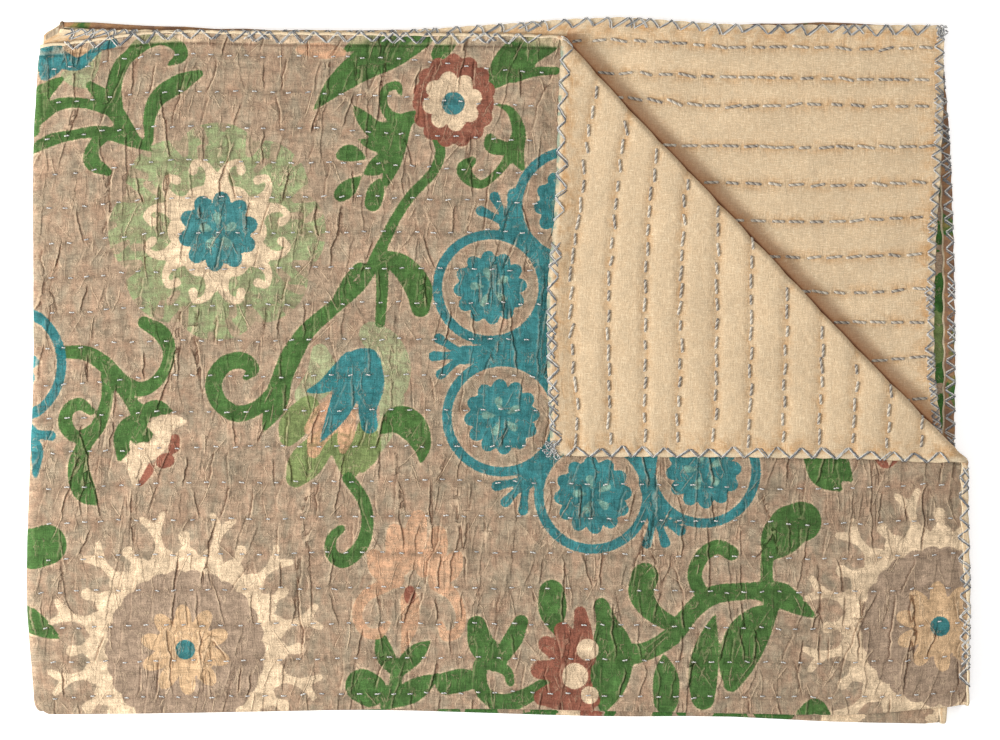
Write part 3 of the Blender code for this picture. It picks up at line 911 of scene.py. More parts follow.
def hem_width(s):
    """The turned hem's uneven width at a distance round the quilt: narrow along the front
    leaf's top edge and low on its side, where the print reaches the rim, and wide on the
    lower leaf's side."""
    wander = noise_at(s, np.zeros_like(s), 0.09, 21.0) + 0.7 * noise_at(s, s * 0, 0.02, 22.0)
    top = QUILT_LENGTH + QUILT_WIDTH
    narrow = smooth((s - top) / 0.02) * smooth((top + HALF_LENGTH + 0.01 - s) / 0.02)
    fold_end = QUILT_LENGTH + HALF_WIDTH
    low = smooth((s - fold_end + 0.02) / 0.02) * smooth((fold_end + 0.14 - s) / 0.05)
    narrow = np.maximum(narrow, low)
    rolled = smooth((s - 4 * HALF_LENGTH - 3 * HALF_WIDTH) / 0.04)
    scallop = 0.0012 * np.cos(2 * math.pi * s / HEM_PITCH)
    wide = HEM_SHOWN + 0.0012 * wander - scallop + HEM_ROLLED * rolled
    return wide + (HEM_NARROW + 0.0005 * wander - wide) * narrow


def rim_pull(s):
    """How far in the hem stitch pulls the quilt's edge, at a distance round it."""
    pulled = 0.5 + 0.5 * np.cos(2 * math.pi * s / HEM_PITCH)
    return 0.0010 * pulled**1.5 + 0.0005 * noise_at(s, s * 0, 0.03, 24.0)


def edge_path(u, v):
    """How far round the quilt's edge a point of the edge lies."""
    return np.select(
        [v <= -HALF_WIDTH + 1e-7, u >= HALF_LENGTH - 1e-7, v >= HALF_WIDTH - 1e-7],
        [u + HALF_LENGTH, QUILT_LENGTH + v + HALF_WIDTH, QUILT_LENGTH + QUILT_WIDTH + HALF_LENGTH - u],
        2 * QUILT_LENGTH + QUILT_WIDTH + HALF_WIDTH - v,
    )


def nearest_edge_path(u, v):
    """How far round the quilt the edge point nearest to each flat point lies."""
    on_side = HALF_LENGTH - np.abs(u) < HALF_WIDTH - np.abs(v)
    return edge_path(
        np.where(on_side, np.sign(u) * HALF_LENGTH, u),
        np.where(on_side, v, np.sign(v) * HALF_WIDTH),
    )


def past_crease(u, v):
    """How far beyond the slanting crease a point of the leaf under it lies, in mm."""
    t = np.linspace(0, 1, 60)
    bend_u = CREASE_ON_TOP + t * (HALF_LENGTH - CREASE_ON_TOP)
    bend_v = HALF_WIDTH + t * (CREASE_ON_SIDE - HALF_WIDTH)
    bend = fold(bend_u, bend_v, np.full_like(t, -OUTER))[:, :2]
    at = fold(u, v, np.full_like(u, -OUTER))[:, :2]
    forward, out = np.array(ALONG.normalized()), np.array(CREASE_OUT)
    along, bend_along = at @ forward, bend @ forward
    past = at @ out - np.interp(along, bend_along, bend @ out)
    below = (v < 0) & (u > 0) & (along > bend_along[0])
    return np.where(below, np.clip(past / MM, -9, 60), 60.0)


def crease_roll(u, v):
    """Painted shade along the bend of the slanting crease itself."""
    bend = crease_distance(u, v) / CORNER_ARC
    return np.exp(-(((bend - 0.40) / 0.14) ** 2)) * (bend > 0)


def make_back_cloth(material):
    shown_u, shown_v = CREASE_ON_TOP - 0.03, CREASE_ON_SIDE - 0.02
    across = spaced(
        (-HALF_LENGTH, 0.005), (0.03 - HALF_LENGTH, 0.03), (-LEFT_ARC, 0.0013), (LEFT_ARC, 0.0054),
        (shown_u, 0.0032), (HALF_LENGTH, 0),
    )
    up = spaced(
        (-HALF_WIDTH, 0.0032), (-shown_v, 0.012), (-BOTTOM_ARC, 0.0009), (BOTTOM_ARC, 0.007),
        (shown_v, 0.0032), (HALF_WIDTH, 0),
    )
    u, v, faces = flat_sheet(across, up)
    rim = np.flatnonzero(edge_distance(u, v) < 1e-6)
    s = edge_path(u[rim], v[rim])
    rim = rim[np.argsort(s)]
    s = np.sort(s)
    u[rim] *= 1 - rim_pull(s) / HALF_LENGTH
    v[rim] *= 1 - rim_pull(s) / HALF_WIDTH
    height = back_height(u, v)
    points, flat_u, flat_v = [fold(u, v, -OUTER - height)], [u], [v]
    width, sheet, count = hem_width(s), len(u), len(rim)
    levels = [(np.full_like(s, inset * MM), share) for inset, share in HEM_PROFILE]
    levels += [(width * 0.6, 1.0), (width, 0.96), (width + 0.0004, 0.80)]
    previous = rim
    for number, (inset, share) in enumerate(levels):
        flat_u.append(u[rim] * (1 - inset / HALF_LENGTH))
        flat_v.append(v[rim] * (1 - inset / HALF_WIDTH))
        w = -OUTER + (HEM_OVER + OUTER) * share
        points.append(fold(flat_u[-1], flat_v[-1], np.full_like(s, w)))
        ring = sheet + count * number + np.arange(count)
        faces += np.stack([previous, np.roll(previous, -1), np.roll(ring, -1), ring], axis=1).tolist()
        previous = ring
    piece = make_piece("plain_back", np.vstack(points), faces, material)
    u, v = np.concatenate(flat_u), np.concatenate(flat_v)
    on_hem, on_lip = np.arange(len(u)) >= sheet, np.arange(len(u)) >= len(u) - 2 * count
    k = rows_from(u, np.abs(v))
    row = np.where(v > 0, np.abs(k - np.round(k)) * 2, back_arch(np.abs(v)))
    note(
        piece,
        flat=flat_mm(u, v),
        row=row * ROW_PITCH / 2 / MM,
        edge=edge_distance(u, v) / MM,
        wave=np.cos(2 * math.pi * nearest_edge_path(u, v) / HEM_PITCH),
        pulled=pulled_down(BACK_STITCHES, u, v, 0.0030),
        past_crease=past_crease(u, v),
        crease_roll=crease_roll(u, v),
        rolled=(on_hem & (u < 0) & (v < -0.03)).astype(float),
        lip=on_lip.astype(float),
    )
    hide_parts("back_cloth")
    return piece


# ---------------------------------------------------------------- thread

HEM_PITCH = 0.0215
SIDE_PITCH = 0.0190  # closer on the top leaf's right side
SHORT_PITCH = 0.0128  # and closest on the right side of the leaves below
HEM_DEPTH = 0.0098
LEG_STEPS = 7  # points along each leg of the zigzag
LEGS_APART = 0.0017  # between a leg's two threads
STITCH_SINKS = 0.0009  # how far a running stitch's ends go in
KNOTS_AT_TIP = 15
KNOTS_BELOW = 11


def lay_threads(u, v, w, steps):
    """Flat points of threads, this many each, as paths on the folded quilt: the places, and
    the cloth's own outward direction at each."""
    path = fold(u, v, w)
    outward = fold(u, v, w + np.sign(w) * 0.0005) - path
    outward = outward / np.linalg.norm(outward, axis=1)[:, None]
    return list(zip(path.reshape(-1, steps, 3), outward.reshape(-1, steps, 3)))


def thread_piece(name, paths, material, radius, twist, strands, sides=6, tones=None):
    """Joins plied threads along these paths into one mesh, each strand in its own tone."""
    points, faces, tone, base = [], [], [], 0
    round_it = np.arange(sides) * 2 * math.pi / sides
    for number, (path, outward) in enumerate(paths):
        step = np.gradient(path, axis=0)
        step /= np.linalg.norm(step, axis=1)[:, None]
        side = np.cross(step, outward)
        side /= np.linalg.norm(side, axis=1)[:, None]
        run = np.concatenate([[0], np.cumsum(np.linalg.norm(np.diff(path, axis=0), axis=1))])
        for strand in range(strands):
            angle = 2 * math.pi * (run / twist + strand / strands + number * 0.37)
            lift, sway = 0.7 * np.cos(angle)[:, None], 1.05 * np.sin(angle)[:, None]
            ring = (path + radius * (lift * outward + sway * side))[:, None, :]
            ring = ring + radius * np.cos(round_it)[None, :, None] * outward[:, None, :]
            ring = ring + radius * np.sin(round_it)[None, :, None] * side[:, None, :]
            points.append(ring.reshape(-1, 3))
            n = len(path)
            i = np.arange(n - 1)[:, None] * sides
            j = np.arange(sides)[None, :]
            after = (j + 1) % sides
            quads = np.stack([i + j, i + after, i + sides + after, i + sides + j], axis=-1)
            faces += (quads.reshape(-1, 4) + base).tolist()
            faces.append((base + np.arange(sides)[::-1]).tolist())
            faces.append((base + (n - 1) * sides + np.arange(sides)).tolist())
            share = strand / (strands - 1)
            own = 0.7 * share + 0.3 * (number % 5) / 4
            if tones is not None:
                own = 0.75 * tones[number] + 0.25 * share
            tone.append(np.full(n * sides, own))
            base += n * sides
    piece = make_piece(name, np.vstack(points), faces, material)
    note(piece, tone=np.concatenate(tone))
    return piece


def dashes(places, side, height, lift, steps):
    """Stitches as paths: each comes up through the cloth, runs along a row and goes down."""
    u, v, lean, length = np.array(places).T[:, :, None]
    t = np.linspace(-1, 1, steps)
    su = (u + t * length / 2).ravel()
    sv = (v + t * length / 2 * lean).ravel()
    arch = np.tile(np.sqrt(np.clip(1 - np.abs(t) ** 4, 0, 1)), len(places))
    w = OUTER + height(su, sv) - STITCH_SINKS + (STITCH_SINKS + lift) * arch
    return lay_threads(su, sv, side * w, steps)


def face_stitches(material, thread):
    paths = dashes(FACE_STITCHES, 1, lambda a, b: face_height(a, b)[0], 0.0007, 7)
    return thread_piece("face_stitches", paths, material, thread, 0.0040, 2, 5)


def back_stitches(material, thread):
    paths = dashes(BACK_STITCHES, -1, back_height, 0.0008, 15)
    return thread_piece("back_stitches", paths, material, thread, 0.0062, 3)


def edge_point(s):
    """The flat point this far round the quilt's edge, and the way in from there."""
    corners = np.cumsum((0, QUILT_LENGTH, QUILT_WIDTH, QUILT_LENGTH, QUILT_WIDTH))
    u = np.interp(s, corners, (-HALF_LENGTH, HALF_LENGTH, HALF_LENGTH, -HALF_LENGTH, -HALF_LENGTH))
    v = np.interp(s, corners, (-HALF_WIDTH, -HALF_WIDTH, HALF_WIDTH, HALF_WIDTH, -HALF_WIDTH))
    side = int(np.searchsorted(corners, np.mean(s))) - 1
    return np.stack([u, v], axis=1), np.array(((0, 1), (-1, 0), (0, -1), (1, 0))[side])


def hem_runs():
    """The stretches of edge with a hem stitch: the side it shows on (+1 printed, -1 plain),
    its start and end round the quilt's edge, the share of its steps that are crossed, and
    their pitch."""
    across, up = HALF_LENGTH, HALF_WIDTH
    right, top, left = 2 * across, 2 * across + 2 * up, 4 * across + 2 * up
    crease_top, crease_side = top + across - CREASE_ON_TOP, right + up + CREASE_ON_SIDE
    return (
        (-1, across + 0.012, across + 0.120, 0.9, HEM_PITCH),
        (-1, across + 0.120, right, 0.25, HEM_PITCH),
        (-1, right, right + up - 0.006, 0.3, SHORT_PITCH),
        (1, right + up + 0.006, crease_side - 0.004, 0.35, SIDE_PITCH),
        (-1, crease_side + 0.004, top, 0.1, HEM_PITCH),
        (-1, top, top + 0.20, 0.45, HEM_PITCH),
        (-1, top + 0.20, crease_top, 0.0, HEM_PITCH),
        (1, crease_top, top + across - 0.012, 0.08, HEM_PITCH),
        (-1, top + across + 0.012, left, 0.0, HEM_PITCH),
        (-1, left, left + up - 0.006, 0.0, HEM_PITCH),
        (1, left + up + 0.006, left + 2 * up, 0.15, SHORT_PITCH),
    )


def plan_hem_legs():
    """The zigzag's threads: the side, then where and how far in each one starts and ends."""
    rng = np.random.default_rng(7)
    legs = []
    for side, start, end, crossed, pitch in hem_runs():
        for k in range(math.ceil(start / pitch), int(end / pitch)):
            s = k * pitch
            reach = min(HEM_DEPTH, 0.7 * pitch) * rng.uniform(0.80, 1.18)
            peak = s + pitch * rng.uniform(0.38, 0.62)
            parts = [(s, peak, -0.0003, reach), (peak, s + pitch, reach, -0.0003)]
            if rng.random() < crossed:
                reach = HEM_DEPTH * rng.uniform(0.55, 0.95)
                parts.append((s, s + pitch / 2, reach, -0.0003))
                parts.append((s + pitch / 2, s + pitch, -0.0003, reach))
            for a, b, inset_a, inset_b in parts:
                for strand in (-0.5, 0.5):
                    ends = np.array((a, b)) + strand * LEGS_APART + rng.normal(0, 0.0005, 2)
                    a_now, b_now = np.clip(ends, start, end)
                    shade = strand + 0.5 if rng.random() < 0.75 else rng.uniform(0, 1)
                    legs.append((side, a_now, b_now, inset_a, inset_b, shade, rng.uniform(0, 0.0004)))
    return np.array(legs)


def hem_stitches(material, thread):
    """A zigzag in two threads over every hem, one dark and one pale, crossed in places."""
    side, a, b, inset_a, inset_b, tone, raised = plan_hem_legs().T[:, :, None]
    t = np.linspace(0, 1, LEG_STEPS)
    run, inset = a + (b - a) * t, inset_a + (inset_b - inset_a) * t
    at = np.stack([edge_point(leg)[0] + edge_point(leg)[1] * way[:, None] for leg, way in zip(run, inset)])
    u, v = at.reshape(-1, 2).T
    run, inset = run.ravel(), inset.ravel()
    side, raised, deepest = (np.repeat(x, LEG_STEPS) for x in (side, raised, np.maximum(inset_a, inset_b)))
    on_hem = 1 - smooth((inset - hem_width(run) + 0.0012) / 0.0024)
    on_face = face_height(u, v)[0] * (1 - on_hem) + (HEM_OVER - OUTER) * on_hem
    w = OUTER + np.where(side > 0, on_face, back_height(u, v)) + thread + raised
    w = w - 0.0014 * smooth((0.0010 - inset) / 0.0014) - 0.0012 * smooth((inset - deepest + 0.0010) / 0.0010)
    paths = lay_threads(u, v, side * w, LEG_STEPS)
    return thread_piece("hem_stitches", paths, material, thread, 0.0034, 2, 4, tone.ravel())


def corner_knots(material, thread):
    """Loose loops of thread where the hem stitch turns a corner: the turned corner's tip,
    then the corner of the leaf under it."""
    rng = np.random.default_rng(9)
    paths = []
    turn = np.linspace(0, 1.6 * math.pi, 13)
    for k in range(KNOTS_AT_TIP + KNOTS_BELOW):
        at_tip = k < KNOTS_AT_TIP
        in_u, in_v = (rng.uniform(-0.003, 0.012), rng.uniform(-0.006, 0.007))
        if not at_tip:
            in_u, in_v = rng.uniform(-0.002, 0.007), rng.uniform(-0.002, 0.012)
        wide, tall = rng.uniform(0.0012, 0.0046), rng.uniform(0.0010, 0.0028)
        lean = rng.uniform(0, math.pi)
        x, y = wide * np.cos(turn + k), tall * np.sin(turn + k)
        u = HALF_LENGTH - in_u + x * math.cos(lean) - y * math.sin(lean)
        v = HALF_WIDTH - in_v + x * math.sin(lean) + y * math.cos(lean)
        w = OUTER + 0.0009 + 0.0007 * np.sin(turn * 2 + k) + 0.00012 * k
        paths += lay_threads(u, v if at_tip else -v, -w, len(turn))
    return thread_piece("corner_knots", paths, material, thread, 0.0040, 2, 5)


# ---------------------------------------------------------------- settings


def linear(code):
    """An sRGB hex colour as linear red, green and blue."""
    parts = [int(code[i : i + 2], 16) / 255 for i in (0, 2, 4)]
    return tuple(p / 12.92 if p <= 0.04045 else ((p + 0.055) / 1.055) ** 2.4 for p in parts)


def colour(name, use, code):
    start = linear(code)
    return FloatVectorProperty(name=name, description=use, subtype="COLOR", min=0, max=1, default=start)


def length(name, use, start, least=0.0001):
    return FloatProperty(name=name, description=use, unit="LENGTH", min=least, default=start)


class QuiltColours(bpy.types.PropertyGroup):
    ground: colour("Ground", "Washed ground of the print", "90816C")
    ground_rosy: colour("Ground, rosy", "Warmer patches of the ground", "9B8069")
    sage: colour("Sage", "Pale green ink of the lacy medallion", "7E8A61")
    pale_sage: colour("Pale sage", "The tulip's washed backing", "8C926D")
    lime: colour("Lime", "Yellow-green ink of the tulip's base", "6C7B4A")
    bare: colour("Bare", "Ground left clear in the lacy medallion", "97816B")
    smoke: colour("Smoke", "Grey-brown ink inside the sunbursts", "8F7A67")
    leaf: colour("Leaf", "Green ink of the leaves and vines", "3A5F2C")
    peach: colour("Peach", "Peach ink of the sprays and petals", "B68D6E")
    brick: colour("Brick", "Brown-red ink of the flowers", "7F4C3C")
    cream: colour("Cream", "Undyed cream of the stars and petals", "CAB293")
    ochre: colour("Ochre", "Ochre ink of the sunburst's star", "BC9C78")
    teal: colour("Teal", "Teal ink of the wheels and flowers", "276C6F")
    lace: colour("Lace", "Pale teal spots on the teal flowers", "739383")
    worn: colour("Worn", "Cloth worn pale along the creases", "D2B898")
    # painted shade: the tint multiplied into the creases, folds and grooves
    painted_crease_shade: colour("Groove", "Dye gathered in the creases", "8E7264")
    back: colour("Back", "Plain cloth of the back and hem", "C8B08F")
    # the warmer stain colour, also used as painted shade in the stitch dimples and at the hem stitch's inner
    # points
    back_stain_and_shade: colour("Back stain", "Warmer wash along the rows of the back", "AF8455")
    # painted shade: the print's ground made darker for the shade under the leaf above
    rolled_print_shaded: colour("Rolled print", "Print on the rolled hem of the lower leaf", "7A5C48")
    # painted shade: the colour of the shadow along the slanting crease
    back_painted_shade: colour("Back, shaded", "Dust and dye in the slanting crease", "9C6238")
    back_pale: colour("Back pale", "Paler threads of the back", "D6C6A8")
    # the dark strands are partly painted shade along the thread's sides
    thread: colour("Thread", "Doubled thread of the hem and rows", "565A60")
    thread_light: colour("Thread, light", "Light strands of the thread", "CAC6BE")
    floor: colour("Floor", "Studio floor", "F4F4F4")


class QuiltSizes(bpy.types.PropertyGroup):
    camera_height: length("Camera height", "Height of the camera over the floor", 2.4, 0.5)
    view_width: length("View width", "Width that the camera takes in at the quilt's top", 0.945, 0.1)
    face_thread: length("Face thread", "Radius of a strand of the printed side's stitches", 0.00040)
    back_thread: length("Back thread", "Radius of a strand of the plain side's stitches", 0.00076)
    hem_thread: length("Hem thread", "Radius of a strand of the hem stitch", 0.00040)


# ---------------------------------------------------------------- finishes

THIN_INKS = ("sage", "pale_sage", "bare", "lace", "peach")  # the ground shows through these
# A pucker's section: mm from its line, then how worn, how much painted shade and how high it is there.
PUCKER_SECTION = (
    (-4.0, (0.0, 0.0, 0.50)),
    (-2.6, (0.0, 0.0, 0.62)),
    (-1.7, (0.75, 0.0, 0.86)),
    (-0.8, (1.0, 0.0, 0.90)),
    (-0.2, (0.2, 0.3, 0.55)),
    (0.3, (0.0, 1.0, 0.05)),
    (0.9, (0.0, 0.6, 0.12)),
    (1.7, (0.0, 0.12, 0.34)),
    (2.8, (0.0, 0.0, 0.50)),
)


def node(tree, kind, inputs=(), out=0, **settings):
    """Adds a shader node with its settings, values and links, and gives one of its outputs.
    The inputs are in order, or by place or name. A colour gets its alpha here."""
    made = tree.nodes.new("ShaderNode" + kind)
    for name, value in settings.items():
        setattr(made, name, value)
    for key, value in (inputs if isinstance(inputs, dict) else dict(enumerate(inputs))).items():
        if isinstance(value, bpy.types.NodeSocket):
            tree.links.new(value, made.inputs[key])
        else:
            made.inputs[key].default_value = (*value, 1) if isinstance(value, Color) else value
    return made.outputs[out]


def start_material(name, roughness):
    """A new material, its shader, and a way to add nodes to it."""
    material = bpy.data.materials.new(name)
    material.use_nodes = True
    shader = material.node_tree.nodes["Principled BSDF"]
    shader.inputs["Roughness"].default_value = roughness
    return material, shader, partial(node, material.node_tree)


def grain(add, flat, along, up, detail=2, rough=0.5, warp=0, seed=0):
    """Noise in the cloth, with lumps this many millimetres long and high."""
    placed = add("Mapping", {0: flat, 1: (seed, seed, 0), 3: (1 / along, 1 / up, 1)})
    look = {"Scale": 1, "Detail": detail, "Roughness": rough, "Distortion": warp}
    return add("TexNoise", {"Vector": placed, **look})


def inks_along(add, shade, place, shown, bits, colours):
    """Inks from here to there along a negative place in millimetres, over a shade."""
    steps = add("ValToRGB", (add("MapRange", (place, -1000, 0)),)).node
    ramp = steps.color_ramp
    ramp.interpolation = "CONSTANT"
    ramp.elements[0].color = (0, 0, 0, 0)
    ramp.elements.remove(ramp.elements[1])
    for start, end, ink in bits:
        for at, cover in ((start, 1), (end, 0)):
            stop = ramp.elements.new(1 + at / 1000)
            stop.color = (*getattr(colours, ink), cover)
    cover = add("Math", (steps.outputs[1], shown), operation="MULTIPLY")
    return add("Mix", {0: cover, 6: shade, 7: steps.outputs[0]}, 2, data_type="RGBA")


def washed(add, shade, least, most, parts):
    """A shade that these noises darken and lighten, each from one factor to another."""
    for source, low, high in parts:
        share = add("MapRange", (source, least, most, low, high))
        shade = add("VectorMath", {0: shade, 3: share}, operation="SCALE")
    return shade


def join_cotton(shader, add, shade, relief, strength, specular):
    """Gives a cloth its colour, and its relief from parts that are this many mm high."""
    (part, amount), *others = relief
    height = add("Math", (part, amount), operation="MULTIPLY")
    for part, amount in others:
        height = add("Math", (part, amount, height), operation="MULTIPLY_ADD")
    bump = add("Bump", {"Height": height, "Distance": MM, "Strength": strength})
    links = shader.id_data.links
    links.new(shade, shader.inputs["Base Color"])
    links.new(bump, shader.inputs["Normal"])
    shader.inputs["Specular IOR Level"].default_value = specular


def printed_cotton(colours):
    """Thin cotton, block printed and stonewashed. Quilting puckers it, and washing wears it pale on every
    crease; its grooves, the rows and the stitch dimples get painted shade. Matt, with soft thread grain.
    The weave is drawn at 1 mm, coarser than its real 0.4 mm, so that it shows."""
    material, shader, add = start_material("stonewashed printed cotton", 0.92)
    flat = add("Attribute", out="Vector", attribute_name="flat")
    printed, near, depth, crack, crack_depth, row, pulled, *inks = (
        add("Attribute", out="Fac", attribute_name=name)
        for name in ("printed", "crease", "crease_depth", "crack", "crack_depth", "row", "pulled", *INKS)
    )
    lumps = partial(grain, add, flat)
    broad = lumps(46, 34, 3)
    mottle = lumps(9, 7, 4, 0.65, 0.6, 40)
    slub = lumps(16, 1.1, 2, 0.6, 0.3, 80)
    warp_threads = lumps(1, 5, 2, 0.6, 0, 120)
    speck = lumps(1, 1, 2, 0.8, 0, 160)
    streak = lumps(7, 34, 3, 0.6, 0.8, 210)
    ragged = add("MapRange", (lumps(2.2, 1.6, 3, 0.7), 0, 1, -1.3, 1.3))

    # the ground, a pale rim round the firm inks, then the inks
    rosy = add("MapRange", (lumps(14, 22, 3, 0.6, 0.4, 260), 0.35, 0.65))
    shade = add("Mix", {0: rosy, 6: colours.ground, 7: colours.ground_rosy}, 2, data_type="RGBA")
    rim = add("MapRange", (printed, -2.6, -0.5))
    broken = add("MapRange", (lumps(7, 7, 2, 0.6, 0, 17), 0.38, 0.62, 0, 0.55))
    layers = [(add("Math", (rim, broken), operation="MULTIPLY"), colours.worn, "MIX")]
    thin = add("MapRange", (mottle, 0.35, 0.60, 0.55, 1))
    for name, inside in zip(INKS, inks):
        edge = add("Math", (inside, ragged), operation="ADD")
        cover = add("MapRange", (edge, -0.4, 0.5, 0, 0.96))
        if name in THIN_INKS:
            cover = add("Math", (cover, thin), operation="MULTIPLY")
        layers.append((cover, getattr(colours, name), "MIX"))

    # a paler hem along the top edge, with a line of painted shade along its fold
    place = add("SeparateXYZ", (flat,)).node.outputs
    from_top = add("Math", (ragged, 0.9, place[1]), operation="MULTIPLY_ADD")
    patches = add("MapRange", (lumps(45, 20, 2, 0.5, 0, 300), 0.42, 0.62, 0, 0.62))
    pale_hem = add("Math", (add("MapRange", (from_top, 623, 625)), patches), operation="MULTIPLY")
    layers.append((pale_hem, colours.worn, "MIX"))
    line = [add("MapRange", (from_top, *limits)) for limits in ((620, 622.5), (622.5, 624, 0.55, 0))]
    layers.append((add("Math", line, operation="MULTIPLY"), colours.painted_crease_shade, "MULTIPLY"))
    for cover, colour_over, blend in layers:
        shade = add("Mix", {0: cover, 6: shade, 7: colour_over}, 2, data_type="RGBA", blend_type=blend)

    # the leaves below, where their edges show
    slant = add("MapRange", (lumps(18, 9, 2, 0.5, 0, 330), 0.3, 0.7, -7, 7))
    at_fold = add("Math", (add("Math", (place[1],), operation="ABSOLUTE"), 28), operation="LESS_THAN")
    at_side = add("Math", (place[0], -859), operation="LESS_THAN")
    for along, shown, bits in ((place[0], at_fold, INKS_AT_BOTTOM), (place[1], at_side, INKS_AT_SIDE)):
        wobble = add("Math", (slant, along), operation="ADD")
        shade = inks_along(add, shade, wobble, shown, bits, colours)

    # washed unevenly: broad clouds, mottles, streaks, slubs and thread grain
    clouds = ((broad, 0.86, 1.14), (mottle, 0.60, 1.40), (streak, 0.87, 1.13))
    threads = ((slub, 0.80, 1.20), (warp_threads, 0.95, 1.05), (speck, 0.52, 1.48))
    shade = washed(add, shade, 0.25, 0.75, clouds + threads)

    # the puckers, from the nearest one's signed distance
    shaky = add("MapRange", (lumps(3, 3, 2, 0.6, 0, 7), 0, 1, -1, 1))
    near = add("Math", (near, shaky), operation="ADD")
    section = add("ValToRGB", (add("MapRange", (near, -4, 4)),))
    ramp = section.node.color_ramp
    for i, (at, value) in enumerate(PUCKER_SECTION):
        stop = ramp.elements[i] if i < 2 else ramp.elements.new(0.99)
        stop.position = (at + 4) / 8
        stop.color = (*value, 1)
    # the ramp's second channel is the painted shade in each pucker's groove
    ridge, painted_crease_shade, raised = add("SeparateColor", (section,)).node.outputs
    patchy = add("MapRange", (lumps(8, 14, 2, 0.6, 0, 55), 0.35, 0.6))
    strong = add("Math", (depth, patchy), operation="MULTIPLY")
    ridge = add("Math", (ridge, strong), operation="MULTIPLY")
    deep = add("MapRange", (depth, 0.15, 0.75))
    painted_crease_shade = add("Math", (painted_crease_shade, deep), operation="MULTIPLY")
    raised = add("Math", (raised, 0.5), operation="SUBTRACT")
    raised = add("Math", (raised, depth), operation="MULTIPLY")

    # short cracks, a pale worn line beside a fine line of painted shade
    jitter = add("MapRange", (lumps(2.4, 2.4, 2, 0.6, 0, 71), 0, 1, -1.1, 1.1))
    crack = add("Math", (crack, jitter), operation="ADD")
    sides = []
    for first, second in (((-0.2, 0.5, 1, 0), (-1.3, -0.5)), ((0.1, 0.6), (0.6, 1.9, 1, 0))):
        side = add("MapRange", (crack, *first))
        for part in (add("MapRange", (crack, *second)), crack_depth):
            side = add("Math", (side, part), operation="MULTIPLY")
        sides.append(side)
    crumple, shaded = sides

    # fine crackle, in patches
    veins = add("Math", (lumps(10, 15, 3, 0.55, 0.7, 380), 0.5), operation="SUBTRACT")
    veins = add("MapRange", (add("Math", (veins,), operation="ABSOLUTE"), 0.004, 0.026, 1, 0))
    parted = add("MapRange", (lumps(13, 13, 2, 0.6, 0, 390), 0.46, 0.60))
    veins = add("Math", (veins, parted), operation="MULTIPLY")

    # all that is worn pale, less so on the inks, then the painted shade of the pucker grooves, the rows, the
    # cracks' dark sides and the stitch dimples
    pale = add("Math", (crumple, 0.85), operation="MULTIPLY")
    faint = add("Math", (veins, 0.55), operation="MULTIPLY")
    for part in (ridge, faint):
        pale = add("Math", (pale, part), operation="MAXIMUM")
    on_ink = add("MapRange", (printed, 0, 0.8, 0.86, 0.46))
    pale = add("Math", (pale, on_ink), operation="MULTIPLY")
    # painted shade in the troughs along the rows and in the stitch dimples
    by_row = add("MapRange", (row, 0, 4, 0.14, 0))
    dark = add("Math", (add("Math", (painted_crease_shade, 0.92), operation="MULTIPLY"), by_row), operation="MAXIMUM")
    for part, amount in ((shaded, 0.5), (pulled, 0.30)):
        dark = add("Math", (part, amount, dark), operation="MULTIPLY_ADD", use_clamp=True)
    for cover, colour_over, blend in ((pale, colours.worn, "MIX"), (dark, colours.painted_crease_shade, "MULTIPLY")):
        shade = add("Mix", {0: cover, 6: shade, 7: colour_over}, 2, data_type="RGBA", blend_type=blend)
    threads = ((slub, 0.10), (speck, 0.12))
    creases = ((raised, 1.9), (crumple, 0.80), (veins, 0.5))
    join_cotton(shader, add, shade, (*threads, *creases, (mottle, 1), (streak, 1.3)), 1, 0.15)
    return material


